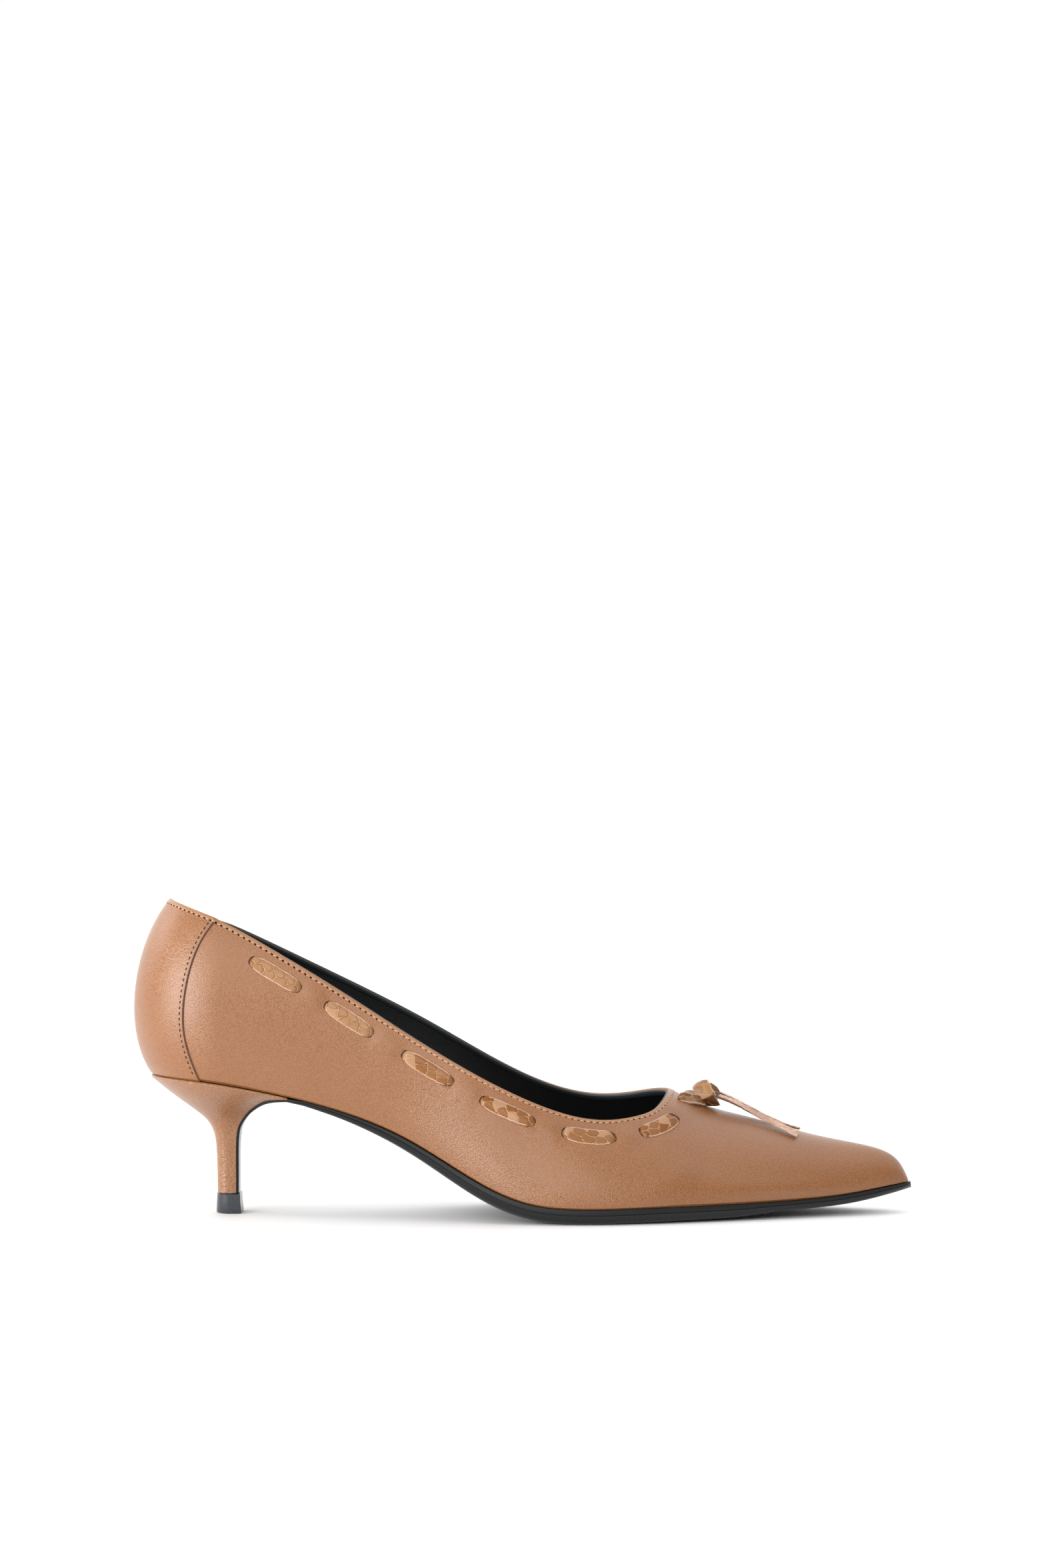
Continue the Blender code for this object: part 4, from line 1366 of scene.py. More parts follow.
@dataclass
class Topline:
    """The rolled edge of the opening: leather outside, folded lining inside, with its row of stitches."""

    last: Last
    counter: Counter
    count: int = 300
    # station and the stitches' distance below the edge
    stitch_below: Rows = ((-70.0, 1.4), (-30.0, 1.05), (36.0, 1.05), (48.0, 1.6))
    pitch: float = 2.13
    seam_pitch: float = 1.85
    # a thread's share of its pitch, its hole's place, and half sizes of holes and seam stitches
    thread: float = 0.66
    hole_at: float = 0.44
    hole: Pair = (0.5, 0.33)
    seam_stitch: Pair = (0.58, 0.25)
    # half the length over which the edge steps up to the counter, and the rows' height over the leather
    ramp: float = 0.7
    clear: float = 0.04
    # out from the last, and down from the topline
    outer: Rows = (
        (-0.02, 1.5), (0.05, 1.25), (0.1, 0.95), (0.13, 0.65), (0.1, 0.35), (0.0, 0.1), (-0.22, -0.08),
        (-0.5, -0.12), (-0.8, -0.04), (-1.0, 0.2), (-1.02, 0.6), (-0.7, 1.1), (-0.3, 1.5),
    )
    inner: Rows = (
        (-0.86, 0.3), (-0.88, -0.1), (-1.02, -0.34), (-1.3, -0.44), (-1.6, -0.34), (-1.84, -0.06),
        (-1.95, 0.35), (-1.98, 0.85), (-1.95, 1.3), (-1.86, 1.6), (-1.6, 1.68), (-1.2, 1.4),
    )

    def edge(self, side: Side) -> tuple[Array, Array, Array, Array, Array]:
        """One side of the topline, from the back to the throat.

        Args:
            side: the side of the foot.

        Returns:
            Stations, points, outward normals, directions down the leather, and the counter's share.
        """
        station = self.last.edge_stations(side, self.count)
        seam = self.counter.front(side, np.array([1.0]))[0]
        over = smooth(seam + self.ramp, seam - self.ramp, station)
        return station, *self.last.edge_frame(side, self.count), over

    def loop(self) -> Frames:
        """The topline from the throat round the heel and back.

        Returns:
            Points, outward normals, directions down the leather, and the counter's share.
        """
        parts = []
        for side in Side:
            _, place, normal, down, over = self.edge(side)
            rows = np.concatenate((place, normal, down, over[:, None]), axis=1)
            parts.append(side.pick(rows[::-1], rows[1:-1]))
        rows = np.concatenate(parts)
        return rows[:, :3], rows[:, 3:6], rows[:, 6:9], rows[:, 9]

    def roll(
        self, name: str, profile: Rows, finish: GrainLeather, slot: Slot, widen: float, crest: float
    ) -> Piece:
        """Carries a closed profile round the topline.

        Args:
            name: the piece's name.
            profile: out and down in each row.
            finish: the leather.
            slot: the piece's material slot.
            widen: how far the outer points move out over the counter panel.
            crest: how far the crest rises there.

        Returns:
            The rolled edge.
        """
        place, normal, down, over = self.loop()
        shape = np.array(profile)
        grow = 1 + 0.4 * smooth(36.0, 47.0, place[:, :1])
        out = shape[None, :, 0] + over[:, None] * widen * smooth(-0.6, 0.0, shape[:, 0])
        deep = grow * shape[None, :, 1] - over[:, None] * crest * smooth(0.7, 0.1, shape[:, 1])
        rings = place[:, None] + out[..., None] * normal[:, None] + deep[..., None] * down[:, None]
        maker = Maker()
        # painted reflection: the lining's fold turns cold grey on its medial side towards the throat
        inner = smooth(-3.0, 6.0, rings[..., 1])
        worn = smooth(15.0, 40.0, rings[..., 0]) * inner if slot is Slot.LINING else 0.0
        ids = maker.add(rings, worn=worn)
        maker.quads(np.concatenate((ids, ids[:1])), wrap=True)
        return settle(maker.make(name, [finish], Crease.ROUND), slot)

    def build(self, stitching: Stitching) -> None:
        """Makes the rolled edges and all rows of stitches.

        Args:
            stitching: the kind of stitch.
        """
        thick = self.counter.thickness
        self.roll("topline_roll", self.outer, FINISHES.roll_leather, Slot.LEATHER, thick, 0.1)
        self.roll("lining_roll", self.inner, FINISHES.lining_roll, Slot.LINING, 0.0, -0.25)
        threads, seams, holes = Maker(), Maker(), Maker()
        for side in Side:
            station, place, normal, down, over = self.edge(side)
            below = np.interp(station, *np.array(self.stitch_below).T)
            row = self.last.onto(side, place + below[:, None] * down)
            lift = over * thick + self.clear
            line = self.last.point(side, *row) + lift[:, None] * normal
            at = np.arange(0.5, int(lengths(line)[-1] / self.pitch)) * self.pitch
            frames = stitching.frames(line, normal, at, -side.value * stitching.slant)
            stitching.threads(threads, frames, self.thread * self.pitch)
            # the needle holes are flat dark dots on the leather: painted shade
            at = at + self.hole_at * self.pitch
            frames = stitching.frames(line, normal, at, -side.value * stitching.hole_slant)
            stitching.dots(holes, frames, self.hole)
            line, normal = self.counter.stitch_line(side)
            at = np.arange(0.5, int(lengths(line)[-1] / self.seam_pitch)) * self.seam_pitch
            stitching.dots(seams, stitching.frames(line, normal, at, 0.0), self.seam_stitch)
        rows = (
            ("topline_stitches", threads, FINISHES.thread),
            ("counter_stitches", seams, FINISHES.seam_thread),
            ("needle_hole_shade", holes, FINISHES.hole),
        )
        for name, maker, finish in rows:
            settle(maker.make(name, [finish], Crease.ROUND), Slot.LEATHER)


@dataclass
class Lining:
    """The lining behind the leather, and the sock on the insole."""

    last: Last
    near: float = 1.15
    far: float = 1.8
    columns: int = 150
    toe_columns: int = 44
    rows: int = 30
    sock_low: float = 2.2
    sock_high: float = 3.8
    sock_inset: float = 1.95
    sock_dish: float = 0.35
    sock_toe: float = 131.0
    toe_stop: float = 126.0
    foot: float = 0.03

    def build(self) -> None:
        """Makes the lining's shell and the sock."""
        last = self.last
        maker = Maker()
        for side in Side:
            station = last.columns(side, self.columns, self.toe_columns, self.toe_stop)
            place, normal = last.wall(side, station, np.linspace(1, self.foot, self.rows)[None, :])
            outer = maker.add(place - self.near * normal)
            inner = maker.add(place - self.far * normal)
            maker.quads(outer)
            maker.quads(inner)
            maker.bridge(outer[: self.columns, 0], inner[: self.columns, 0])
            maker.bridge(outer[:, -1], inner[:, -1])
            maker.bridge(outer[-1], inner[-1])
        settle(maker.make("lining", [FINISHES.lining], Crease.ROUND), Slot.LINING)
        settle(self.sock(), Slot.LINING, "insole")

    def sock(self) -> Piece:
        """The sock: a sheet over the insole, across each section from wall to wall.

        Returns:
            The sock, dished by a little at its middle.
        """
        last = self.last
        heel = np.linspace(last.heel_back, last.fan_x, 20)
        station = np.concatenate((heel, np.linspace(last.fan_x, self.sock_toe, 130)[1:]))
        edges = []
        for side in Side:
            feather = last.feather(side.value * (station - last.heel_back))
            x, out_x, out_y = last.frame(side, station)
            reach = np.maximum(feather - self.sock_inset, 0.3)
            y = np.where(station > last.heel_back, out_y * reach, 0)
            edges.append(np.stack((x + out_x * reach, y), -1))
        share = np.linspace(0, 1, 25)[None, :, None]
        flat = edges[0][:, None] * (1 - share) + edges[1][:, None] * share
        z = last.bottom_height(flat[..., 0])
        slope = last.bottom_height(flat[..., 0] + 0.5) - last.bottom_height(flat[..., 0] - 0.5)
        steep = np.hypot(1, slope)
        dish = self.sock_dish * (2 * share[..., 0] - 1) ** 2
        top = np.concatenate((flat, (z + (self.sock_high + dish) * steep)[..., None]), -1)
        low = np.concatenate((flat, (z + self.sock_low * steep)[..., None]), -1)
        maker = Maker()
        maker.loft(np.concatenate((top, low[:, ::-1]), axis=1))
        return maker.make("sock", [FINISHES.lining], Crease.FOLDED)


@dataclass(frozen=True)
class ScalePlate:
    """The plate that embosses the strip: scales in staggered rows, each a little out of its place."""

    length: float = 4.2
    width: float = 2.7
    # how far a scale may be out of its place, as a share of its length and its width
    loose: Pair = (0.2, 0.16)
    # the draw from which a scale is pale, its tone, and the share of the draw that is a dark one's tone; the
    # pale scales are partly painted glints
    pale_from: float = 0.82
    pale: float = 0.9
    dark: float = 0.3

    def press(self, run: Array, across: Array, seed: int) -> tuple[Array, Array]:
        """The scales on a strip: cells round the nearest of the plate's points, along waving lines.

        Args:
            run: millimetres along the strip.
            across: millimetres across it.
            seed: the seed of the scales' places and tones.

        Returns:
            How far each place is from its cell's border, and the cell's own tone.
        """
        wave_run = 0.3 * np.sin(2.1 * across + seed)
        wave_across = 0.22 * np.sin(1.6 * run + 2 * seed)
        run, across = run + wave_run, across + wave_across
        shake = np.random.default_rng(seed)
        columns = np.arange(-2, int(run.max() / self.length) + 3)
        i, j = np.meshgrid(columns, np.arange(-3, 3), indexing="ij")
        out_run, out_across = (shake.uniform(-reach, reach, i.shape) for reach in self.loose)
        spot_run = (i + 0.5 * (j % 2)) * self.length + run.min() + out_run * self.length
        spot_across = (j + 0.5) * self.width + out_across * self.width
        draw = shake.uniform(0, 1, i.shape)
        tone = np.where(draw > self.pale_from, self.pale, self.dark * draw)
        far = np.hypot(run[..., None] - spot_run.ravel(), across[..., None] - spot_across.ravel())
        order = np.argsort(far, axis=-1)[..., :2]
        nearest = np.take_along_axis(far, order, -1)
        return nearest[..., 1] - nearest[..., 0], tone.ravel()[order[..., 0]]


PLATE = ScalePlate()


@dataclass
class Strip:
    """The embossed strip that is threaded through the windows: the stretches that show."""

    lines: dict[Side, StripLine]
    windows: Windows
    # from the window's ends and from its sides
    clear: float = 0.06
    gap: float = 0.1
    slack: float = 0.25
    overlap: float = 0.15
    crown: float = 0.34
    height: float = 0.54
    sink: float = 0.7
    foot: float = 1.25
    # the ragged sides, the wave along the strip and the scales' height
    ragged: float = 0.07
    wave: float = 0.1
    scale: float = 0.1
    # how pale the scales' middles are in each window: painted highlight, strongest in the first two
    pale: tuple[float, ...] = (0.6, 0.65, 0.15, 0.0, 0.2, 0.0)
    along_count: int = 104
    across_count: int = 25

    def bar(self, side: Side, number: int, window: tuple[float, ...]) -> Piece:
        """One stretch of strip, which rises from one end of its window, lies proud and dives at the other.

        Its height is a plateau with steep ends, crowned across, with the scales' domes on top.

        Args:
            side: the side of the foot.
            number: the window's number from the heel.
            window: the window's row in the table.

        Returns:
            The stretch of strip.
        """
        shake = np.random.default_rng(100 * number + side.value)
        distance, length, below, _ = window
        half = length / 2 - self.clear
        v = np.linspace(-1, 1, self.along_count)
        run = self.slack / 2 + (half - self.slack / 2) * np.sin(v * math.pi / 2)
        oval = self.windows.oval(run, window)
        middle = smooth(half - 2.0, half - 4.6, np.abs(run))
        ragged = Spline(np.linspace(-1, 1, 61), shake.uniform(-self.ragged, self.ragged, 61))(v)
        wide = np.maximum(oval - self.gap + middle * (self.overlap + ragged), 0.15)
        share = np.linspace(-1, 1, self.across_count)
        across = wide[:, None] * share
        rise = smooth(-half + 0.2, -half + 1.7, run) * smooth(half + 0.6, half - 2.6, run)
        wave = Spline(np.linspace(-1, 1, 6), shake.uniform(-self.wave, self.wave, 6))(v)
        seed = 7 * number + 50 * side.value + 400
        gap, tone = PLATE.press(run[:, None] + half + 0 * across, across, seed)
        # painted highlight: the scales' middles are made paler, by the window's share
        tone = tone + (1 - tone) * self.pale[number - 1] * smooth(0.0, 1.2, gap)
        lift = (self.sink + self.height + wave)[:, None] * rise[:, None] - self.sink
        lift = lift + self.scale * smooth(0.0, 0.8, gap) - self.crown * share**2
        place, normal = self.lines[side].at(distance + run[:, None] + 0 * across, below + across)
        edge = wide[:, None] * (1 - np.abs(share)) + 2 * smooth(half - 2.6, half - 1.4, np.abs(run))[:, None]
        maker = Maker()
        top = maker.add(place + lift[..., None] * normal, gap=gap, tone=tone, edge=edge)
        ends = (0, -1)
        low = maker.add(place[:, ends] - self.foot * normal[:, ends], gap=1.0, edge=edge[:, ends])
        maker.quads(top)
        for i in ends:
            maker.bridge(top[:, i], low[:, i])
        maker.quads(low)
        for i in ends:
            maker.cap(np.concatenate((top[i], low[i, ::-1])))
        piece = maker.make(f"strip_{side.label}_{number}", [FINISHES.strip], Crease.FOLDED)
        return settle(piece, Slot.STRIP, f"lace_bar_{side.label}_{number}")

    def build(self) -> None:
        """Makes the stretches of both sides."""
        for side in Side:
            for number, window in enumerate(self.windows.of(side), 1):
                self.bar(side, number, window)


@dataclass
class Bow:
    """The knot at the throat with the strip's leads and its two free ends."""

    last: Last
    knot: Triple = (61.7, 2.3, 39.75)
    axis: Triple = (0.88, 0.0, 0.47)
    width: float = 3.7
    thickness: float = 0.9
    # half the turn's width, its loss at the lower fold, and that fold's slant
    turn_half: float = 2.9
    turn_loss: float = 0.6
    turn_slant: float = 1.25
    # the share of its length, and the columns, over which the near end's painted shade, a dark band on its
    # lower side, tapers
    dark_length: float = 0.62
    dark_columns: int = 7
    # shares of a lead's and an end's length, and the widths there
    lead_widths: Rows = ((0.0, 0.14, 0.3, 1.0), (1.6, 2.4, 3.6, 3.5))
    end_widths: Rows = ((0.0, 0.16, 0.5, 1.0), (3.4, 4.0, 3.7, 3.3))
    # the wrap's closed section: towards the front, and down its length
    wrap: Rows = (
        (-3.4, 0.0), (-3.1, -2.8), (-1.6, -4.2), (0.6, -4.45), (2.5, -3.6), (3.5, -1.7), (4.05, 0.1),
        (4.2, 0.75), (4.1, 1.15), (3.3, 2.8), (2.4, 4.2), (1.4, 4.75), (-0.4, 4.85), (-2.2, 4.0),
        (-3.1, 2.0), (-3.4, 0.0),
    )
    # the strip that shows behind the wrap, and where its face looks
    tuck: Rows = (
        (61.7, 1.6, 42.0), (63.2, 0.7, 41.8), (64.5, 0.2, 40.7), (65.2, 0.6, 39.3), (64.8, 1.6, 37.9),
    )
    tuck_face: Rows = (
        (0.2, -0.7, 0.7), (0.4, -0.8, 0.5), (0.7, -0.7, 0.2), (0.85, -0.5, -0.1), (0.8, -0.4, -0.4),
    )
    # the middle of each lead from inside its hole to the knot
    lead_lateral: Rows = (
        (53.3, -4.0, 36.9), (52.8, -4.8, 38.3), (53.8, -5.1, 38.9), (55.7, -4.6, 38.4), (57.4, -3.4, 38.05),
        (59.5, -1.5, 37.6), (60.7, -0.2, 37.3),
    )
    lead_medial: Rows = (
        (53.2, 13.4, 35.6), (53.5, 12.0, 38.0), (55.7, 8.4, 39.1), (58.4, 5.7, 38.6), (60.7, 4.1, 38.3),
    )
    # where the face of each lead looks, in the same rows
    face_lateral: Rows = (
        (-0.8, -0.5, 0.2), (-0.75, -0.6, 0.3), (-0.3, -0.8, 0.55), (-0.1, -0.82, 0.57),
        (-0.05, -0.85, 0.53), (0.0, -0.88, 0.48), (0.1, -0.9, 0.4),
    )
    face_medial: Rows = (
        (-0.4, 0.4, 0.8), (-0.2, -0.1, 0.95), (-0.15, -0.35, 0.92), (-0.1, -0.1, 0.95), (-0.1, 0.3, 0.9),
    )
    # the middle of each free end from the knot on
    end_lateral: Rows = (
        (61.6, 1.2, 39.4), (66.6, 0.2, 38.3), (73.0, -0.9, 35.6), (79.8, -2.3, 32.0), (86.5, -3.9, 29.0),
        (91.9, -5.2, 26.3),
    )
    end_medial: Rows = (
        (61.4, 4.0, 40.2), (66.2, 4.9, 39.4), (75.0, 4.9, 35.3), (83.0, 5.1, 31.2), (90.0, 5.5, 28.3),
        (93.2, 5.8, 27.3),
    )

    def ribbon(
        self, path: Array, normals: Array, width: Array, curl: float, seed: int,
        flesh: bool = False, pale: float = 0.22, shade: float = 0.0,
    ) -> Maker:
        """A flat strip: a rounded rectangle carried along a path, with the scales on its face.

        Args:
            path: the points of its middle.
            normals: the directions that its face looks in.
            width: its width at the points.
            curl: how far its sides curl up.
            seed: the seed of its scales and ragged sides.
            flesh: whether the face is the flesh side and the scales are under it.
            pale: the scales' tone, from dark to light.
            shade: the share of its length on which the near side of the face takes the dark edge colour as
                painted shade, in a taper.

        Returns:
            The mesh in the making, with the strip, the flesh side and the dark edge colour, here painted
            shade, as finishes.
        """
        shake = np.random.default_rng(seed)
        forward = unit(np.gradient(path, axis=0))
        aside = unit(np.cross(normals, forward))
        face = unit(np.cross(forward, aside))
        run = lengths(path)
        v = np.linspace(-1, 1, 21)
        ragged = Spline(np.linspace(0, run[-1], 34), shake.uniform(-0.12, 0.1, 34))(run)
        across = (width / 2 + ragged)[:, None] * v
        gap, tone = PLATE.press(run[:, None] + 0 * across, across, seed)
        tone = pale + 0.4 * tone
        dome = 0.07 * smooth(0.0, 0.7, gap) * (1 - np.abs(v) ** 6)
        fibre = 0.07 * np.sin(4.0 * across + 1.3 * np.sin(0.8 * run)[:, None])
        thin = 1 - (0.45 * smooth(0.0, 0.45, run / run[-1]) if flesh else 0.0 * run)
        half = self.thickness / 2 * thin[:, None] * (1 - 0.35 * np.abs(v) ** 8)
        bend = curl * v**2
        upper = half + bend + (fibre if flesh else dome)
        lower = bend - half - (dome if flesh else 0 * dome)
        edge = (width / 2)[:, None] * (1 - np.abs(v))
        middle = path[:, None] + across[..., None] * aside[:, None]
        maker = Maker()
        top = maker.add(middle + upper[..., None] * face[:, None], gap=gap, tone=tone, edge=edge)
        low = maker.add(middle + lower[..., None] * face[:, None], gap=gap, tone=tone, edge=edge)
        shaded = len(run) // 2
        # painted shade: a band along the near side of the face takes the dark edge colour, tapering off along
        # the length
        for k in range(len(v) - 1):
            cut = int(shade * len(run) * max(1 - k / self.dark_columns, 0))
            maker.quads(top[: cut + 1, k : k + 2], 2)
            maker.quads(top[cut:, k : k + 2], 1 if flesh else 0)
        maker.quads(low)
        # the first half of a flesh end's sides takes the dark edge colour too: painted shade under the lifted
        # end
        for i in (0, -1):
            maker.bridge(top[: shaded + 1, i], low[: shaded + 1, i], 2 if flesh else 0)
            maker.bridge(top[shaded:, i], low[shaded:, i], 1 if flesh else 0)
            maker.cap(np.concatenate((top[i], low[i, ::-1])), 1)
        return maker

    def band(self, seed: int) -> Maker:
        """The strip's turn round the knot: the flat strip carried round the wrap's section.

        Across the strip the section keeps its form, but for its crown and for the lower fold, which is
        slanted: the further along the axis, the lower it lies.

        Args:
            seed: the seed of its scales.

        Returns:
            The mesh in the making.
        """
        hole = unit(np.array(self.axis))
        front = np.array((0.0, -1.0, 0.0))
        side = np.cross(hole, front)
        section = through(self.wrap, 121)
        v = np.linspace(-1, 1, 25)
        run = lengths(section)[:, None]
        turn = unit(np.gradient(section, axis=0))
        out = np.stack((turn[:, 1], -turn[:, 0]), -1)
        lower = smooth(0.7, 4.2, section[:, 1:])
        half = self.turn_half - self.turn_loss * lower
        gap, tone = PLATE.press(run + 0 * v, half * v, seed)
        dome = 0.09 * smooth(0.0, 0.8, gap) * (1 - np.abs(v) ** 6) - (0.75 - 0.45 * lower) * v**2
        # painted shade and light: the upper face is kept pale, and the lower fold, which faces down, is
        # darkened toward black
        tone = (0.55 + 0.45 * tone) * smooth(1.35, 0.95, section[:, 1:] - self.turn_slant * lower * v)
        shift = -0.45 + 0.35 * lower + 0.12 * np.sin(1.9 * run)
        edge = half * (1 - np.abs(v))
        maker = Maker()
        rings = []
        for offset in (dome, dome - self.thickness):
            far_front = section[:, :1] + offset * out[:, :1]
            far_side = section[:, 1:] + offset * out[:, 1:] + self.turn_slant * v * lower
            far_axis = half * v + shift
            place = far_front[..., None] * front + far_side[..., None] * side + far_axis[..., None] * hole
            rings.append(maker.add(np.array(self.knot) + place, gap=gap, tone=tone, edge=edge))
        maker.quads(rings[0])
        maker.quads(rings[1], 1)
        for i in (0, -1):
            maker.bridge(rings[0][:, i], rings[1][:, i])
        return maker

    def build(self) -> None:
        finishes = [FINISHES.knot, FINISHES.flesh, FINISHES.edge_dye_and_shade]
        knot = settle(self.band(31).make("strip_knot", finishes, Crease.FOLDED), Slot.STRIP, "lace_knot")
        count = 40
        face = through(self.tuck_face, count)
        # painted shade: the tuck's scales are kept dark, where it lies behind the wrap
        tuck = self.ribbon(through(self.tuck, count), face, np.full(count, 3.0), 0.1, 33, pale=0.1)
        tucked = settle(tuck.make("strip_knot_tuck", finishes, Crease.FOLDED), Slot.STRIP)
        for side in Side:
            path = through(side.pick(self.lead_lateral, self.lead_medial), count)
            face = through(side.pick(self.face_lateral, self.face_medial), count)
            width = np.interp(np.linspace(0, 1, count), *self.lead_widths)
            maker = self.ribbon(path, face, width, 0.2, 60 + side.value)
            lead = maker.make(f"strip_lead_{side.label}", finishes, Crease.FOLDED)
            settle(lead, Slot.STRIP, f"lace_lead_{side.label}")
        count = 120
        for side in Side:
            path = through(side.pick(self.end_lateral, self.end_medial), count)
            face = self.last.normal(side, *self.last.onto(side, path)) + (0, -0.1, 0)
            width = np.interp(np.linspace(0, 1, count), *self.end_widths)
            dark = side.pick(self.dark_length, 0.0)
            maker = self.ribbon(path, face, width, 0.3, 80 + side.value, flesh=True, shade=dark)
            end = maker.make(f"strip_end_{side.label}", finishes, Crease.FOLDED)
            settle(end, Slot.STRIP, f"lace_end_{side.label}")


@dataclass
class Heel:
    """The leather-covered heel and its rubber top piece."""

    last: Last
    seat_gap: float = 0.12
    # how far the cover stands out from the upper at the breast, what the back adds, and over which length
    proud: float = 0.2
    proud_back: float = 0.9
    proud_run: float = 20.0
    # the lip's depth, and its rings: inward and up
    lip_depth: float = 0.75
    lip: Rows = ((0.95, 0.0), (0.42, -0.06), (0.12, -0.28))
    ring_count: int = 73
    # front x, front z, back x, back z, half width
    rows: Rows = (
        (-77.5, 40.1, -124.3, 46.5, 26.3), (-84.5, 38.9, -118.8, 41.2, 21.0),
        (-89.2, 36.3, -110.8, 35.2, 14.4), (-92.2, 33.6, -106.8, 32.0, 10.2),
        (-94.6, 30.1, -104.7, 29.3, 7.5), (-95.6, 26.6, -103.4, 26.0, 6.1),
        (-95.9, 21.4, -102.8, 21.4, 5.4), (-95.9, 14.0, -102.5, 14.0, 5.1), (-95.9, 6.9, -102.4, 6.9, 5.2),
    )
    tip_rows: Rows = (
        (-94.75, 6.6, -102.35, 6.6, 5.2), (-94.5, 6.45, -102.6, 6.45, 5.45),
        (-94.42, 4.0, -102.68, 4.0, 5.5), (-94.05, 0.5, -102.8, 0.5, 5.6),
        (-94.15, 0.15, -102.7, 0.15, 5.5), (-94.65, 0.0, -102.45, 0.0, 5.25),
    )

    def seat(self) -> Array:
        """The seat's outline: the upper's feather edge, moved outward.

        Returns:
            Points from the lateral front corner round the back to the medial one.
        """
        last = self.last
        front = self.rows[0][0]
        back = np.linspace(last.fan_x, last.heel_back, 20)[1:]
        station = np.concatenate((np.linspace(front, last.fan_x, 16), back))
        sides = []
        for side in Side:
            edge = last.point(side, station, 0 * station)
            outward = (edge - np.array((last.fan_x, 0, 0))) * (1, 1, 0)
            flat = np.where((station < last.fan_x)[:, None], outward, np.array((0, side.value, 0)))
            reach = self.proud + self.proud_back * np.clip((front - station) / self.proud_run, 0, 1)
            edge = edge + reach[:, None] * unit(flat)
            edge[-1, 1] = 0
            sides.append(edge)
        return np.concatenate((sides[0], sides[1][-2::-1]))

    def rings(self, rows: Any, seat: Array) -> Array:
        """Rings in the shape of the seat, between the front and back points of each row.

        Args:
            rows: front x and z, back x and z, and half width in each row.
            seat: the seat's outline.

        Returns:
            The rings' points.
        """
        table = np.asarray(rows, float)
        share = (seat[:, 0] - seat[0, 0]) / (seat[:, 0].min() - seat[0, 0])
        wide = seat[:, 1] / np.abs(seat[:, 1]).max()
        x = table[:, :1] + share * (table[:, 2:3] - table[:, :1])
        z = table[:, 1:2] + share * (table[:, 3:4] - table[:, 1:2])
        return np.stack((x, wide * table[:, 4:5], z), -1)

    def build(self) -> None:
        """Makes the covered heel, whose seat has a rounded lip, and the top piece."""
        seat = self.seat()
        top = seat.copy()
        top[:, 2] = self.last.bottom_height(top[:, 0]) - self.seat_gap
        inward = unit((np.array((self.last.fan_x, 0, 0)) - seat) * (1, 1, 0))
        body = self.rings(self.rows, seat)
        body[0] = top + (0, 0, -self.lip_depth)
        body = through(body.reshape(len(body), -1), self.ring_count).reshape(self.ring_count, -1, 3)
        lip = [top + a * inward + (0, 0, b) for a, b in self.lip]
        rings = np.concatenate((np.stack(lip), body))
        maker = Maker()
        ids = maker.add(rings)
        maker.quads(ids, wrap=True)
        half = ids.shape[1] // 2
        for ring in (ids[0], ids[-1]):
            maker.bridge(ring[:half], ring[::-1][:half])
            maker.cap(ring[half - 1 : half + 2])
        settle(maker.make("heel_cover", [FINISHES.heel_leather], Crease.FOLDED), Slot.LEATHER, "heel")
        tip = Maker()
        tip.loft(self.rings(self.tip_rows, seat))
        settle(tip.make("top_piece", [FINISHES.tip], Crease.MOULDED), Slot.TIP, "heel_tip")


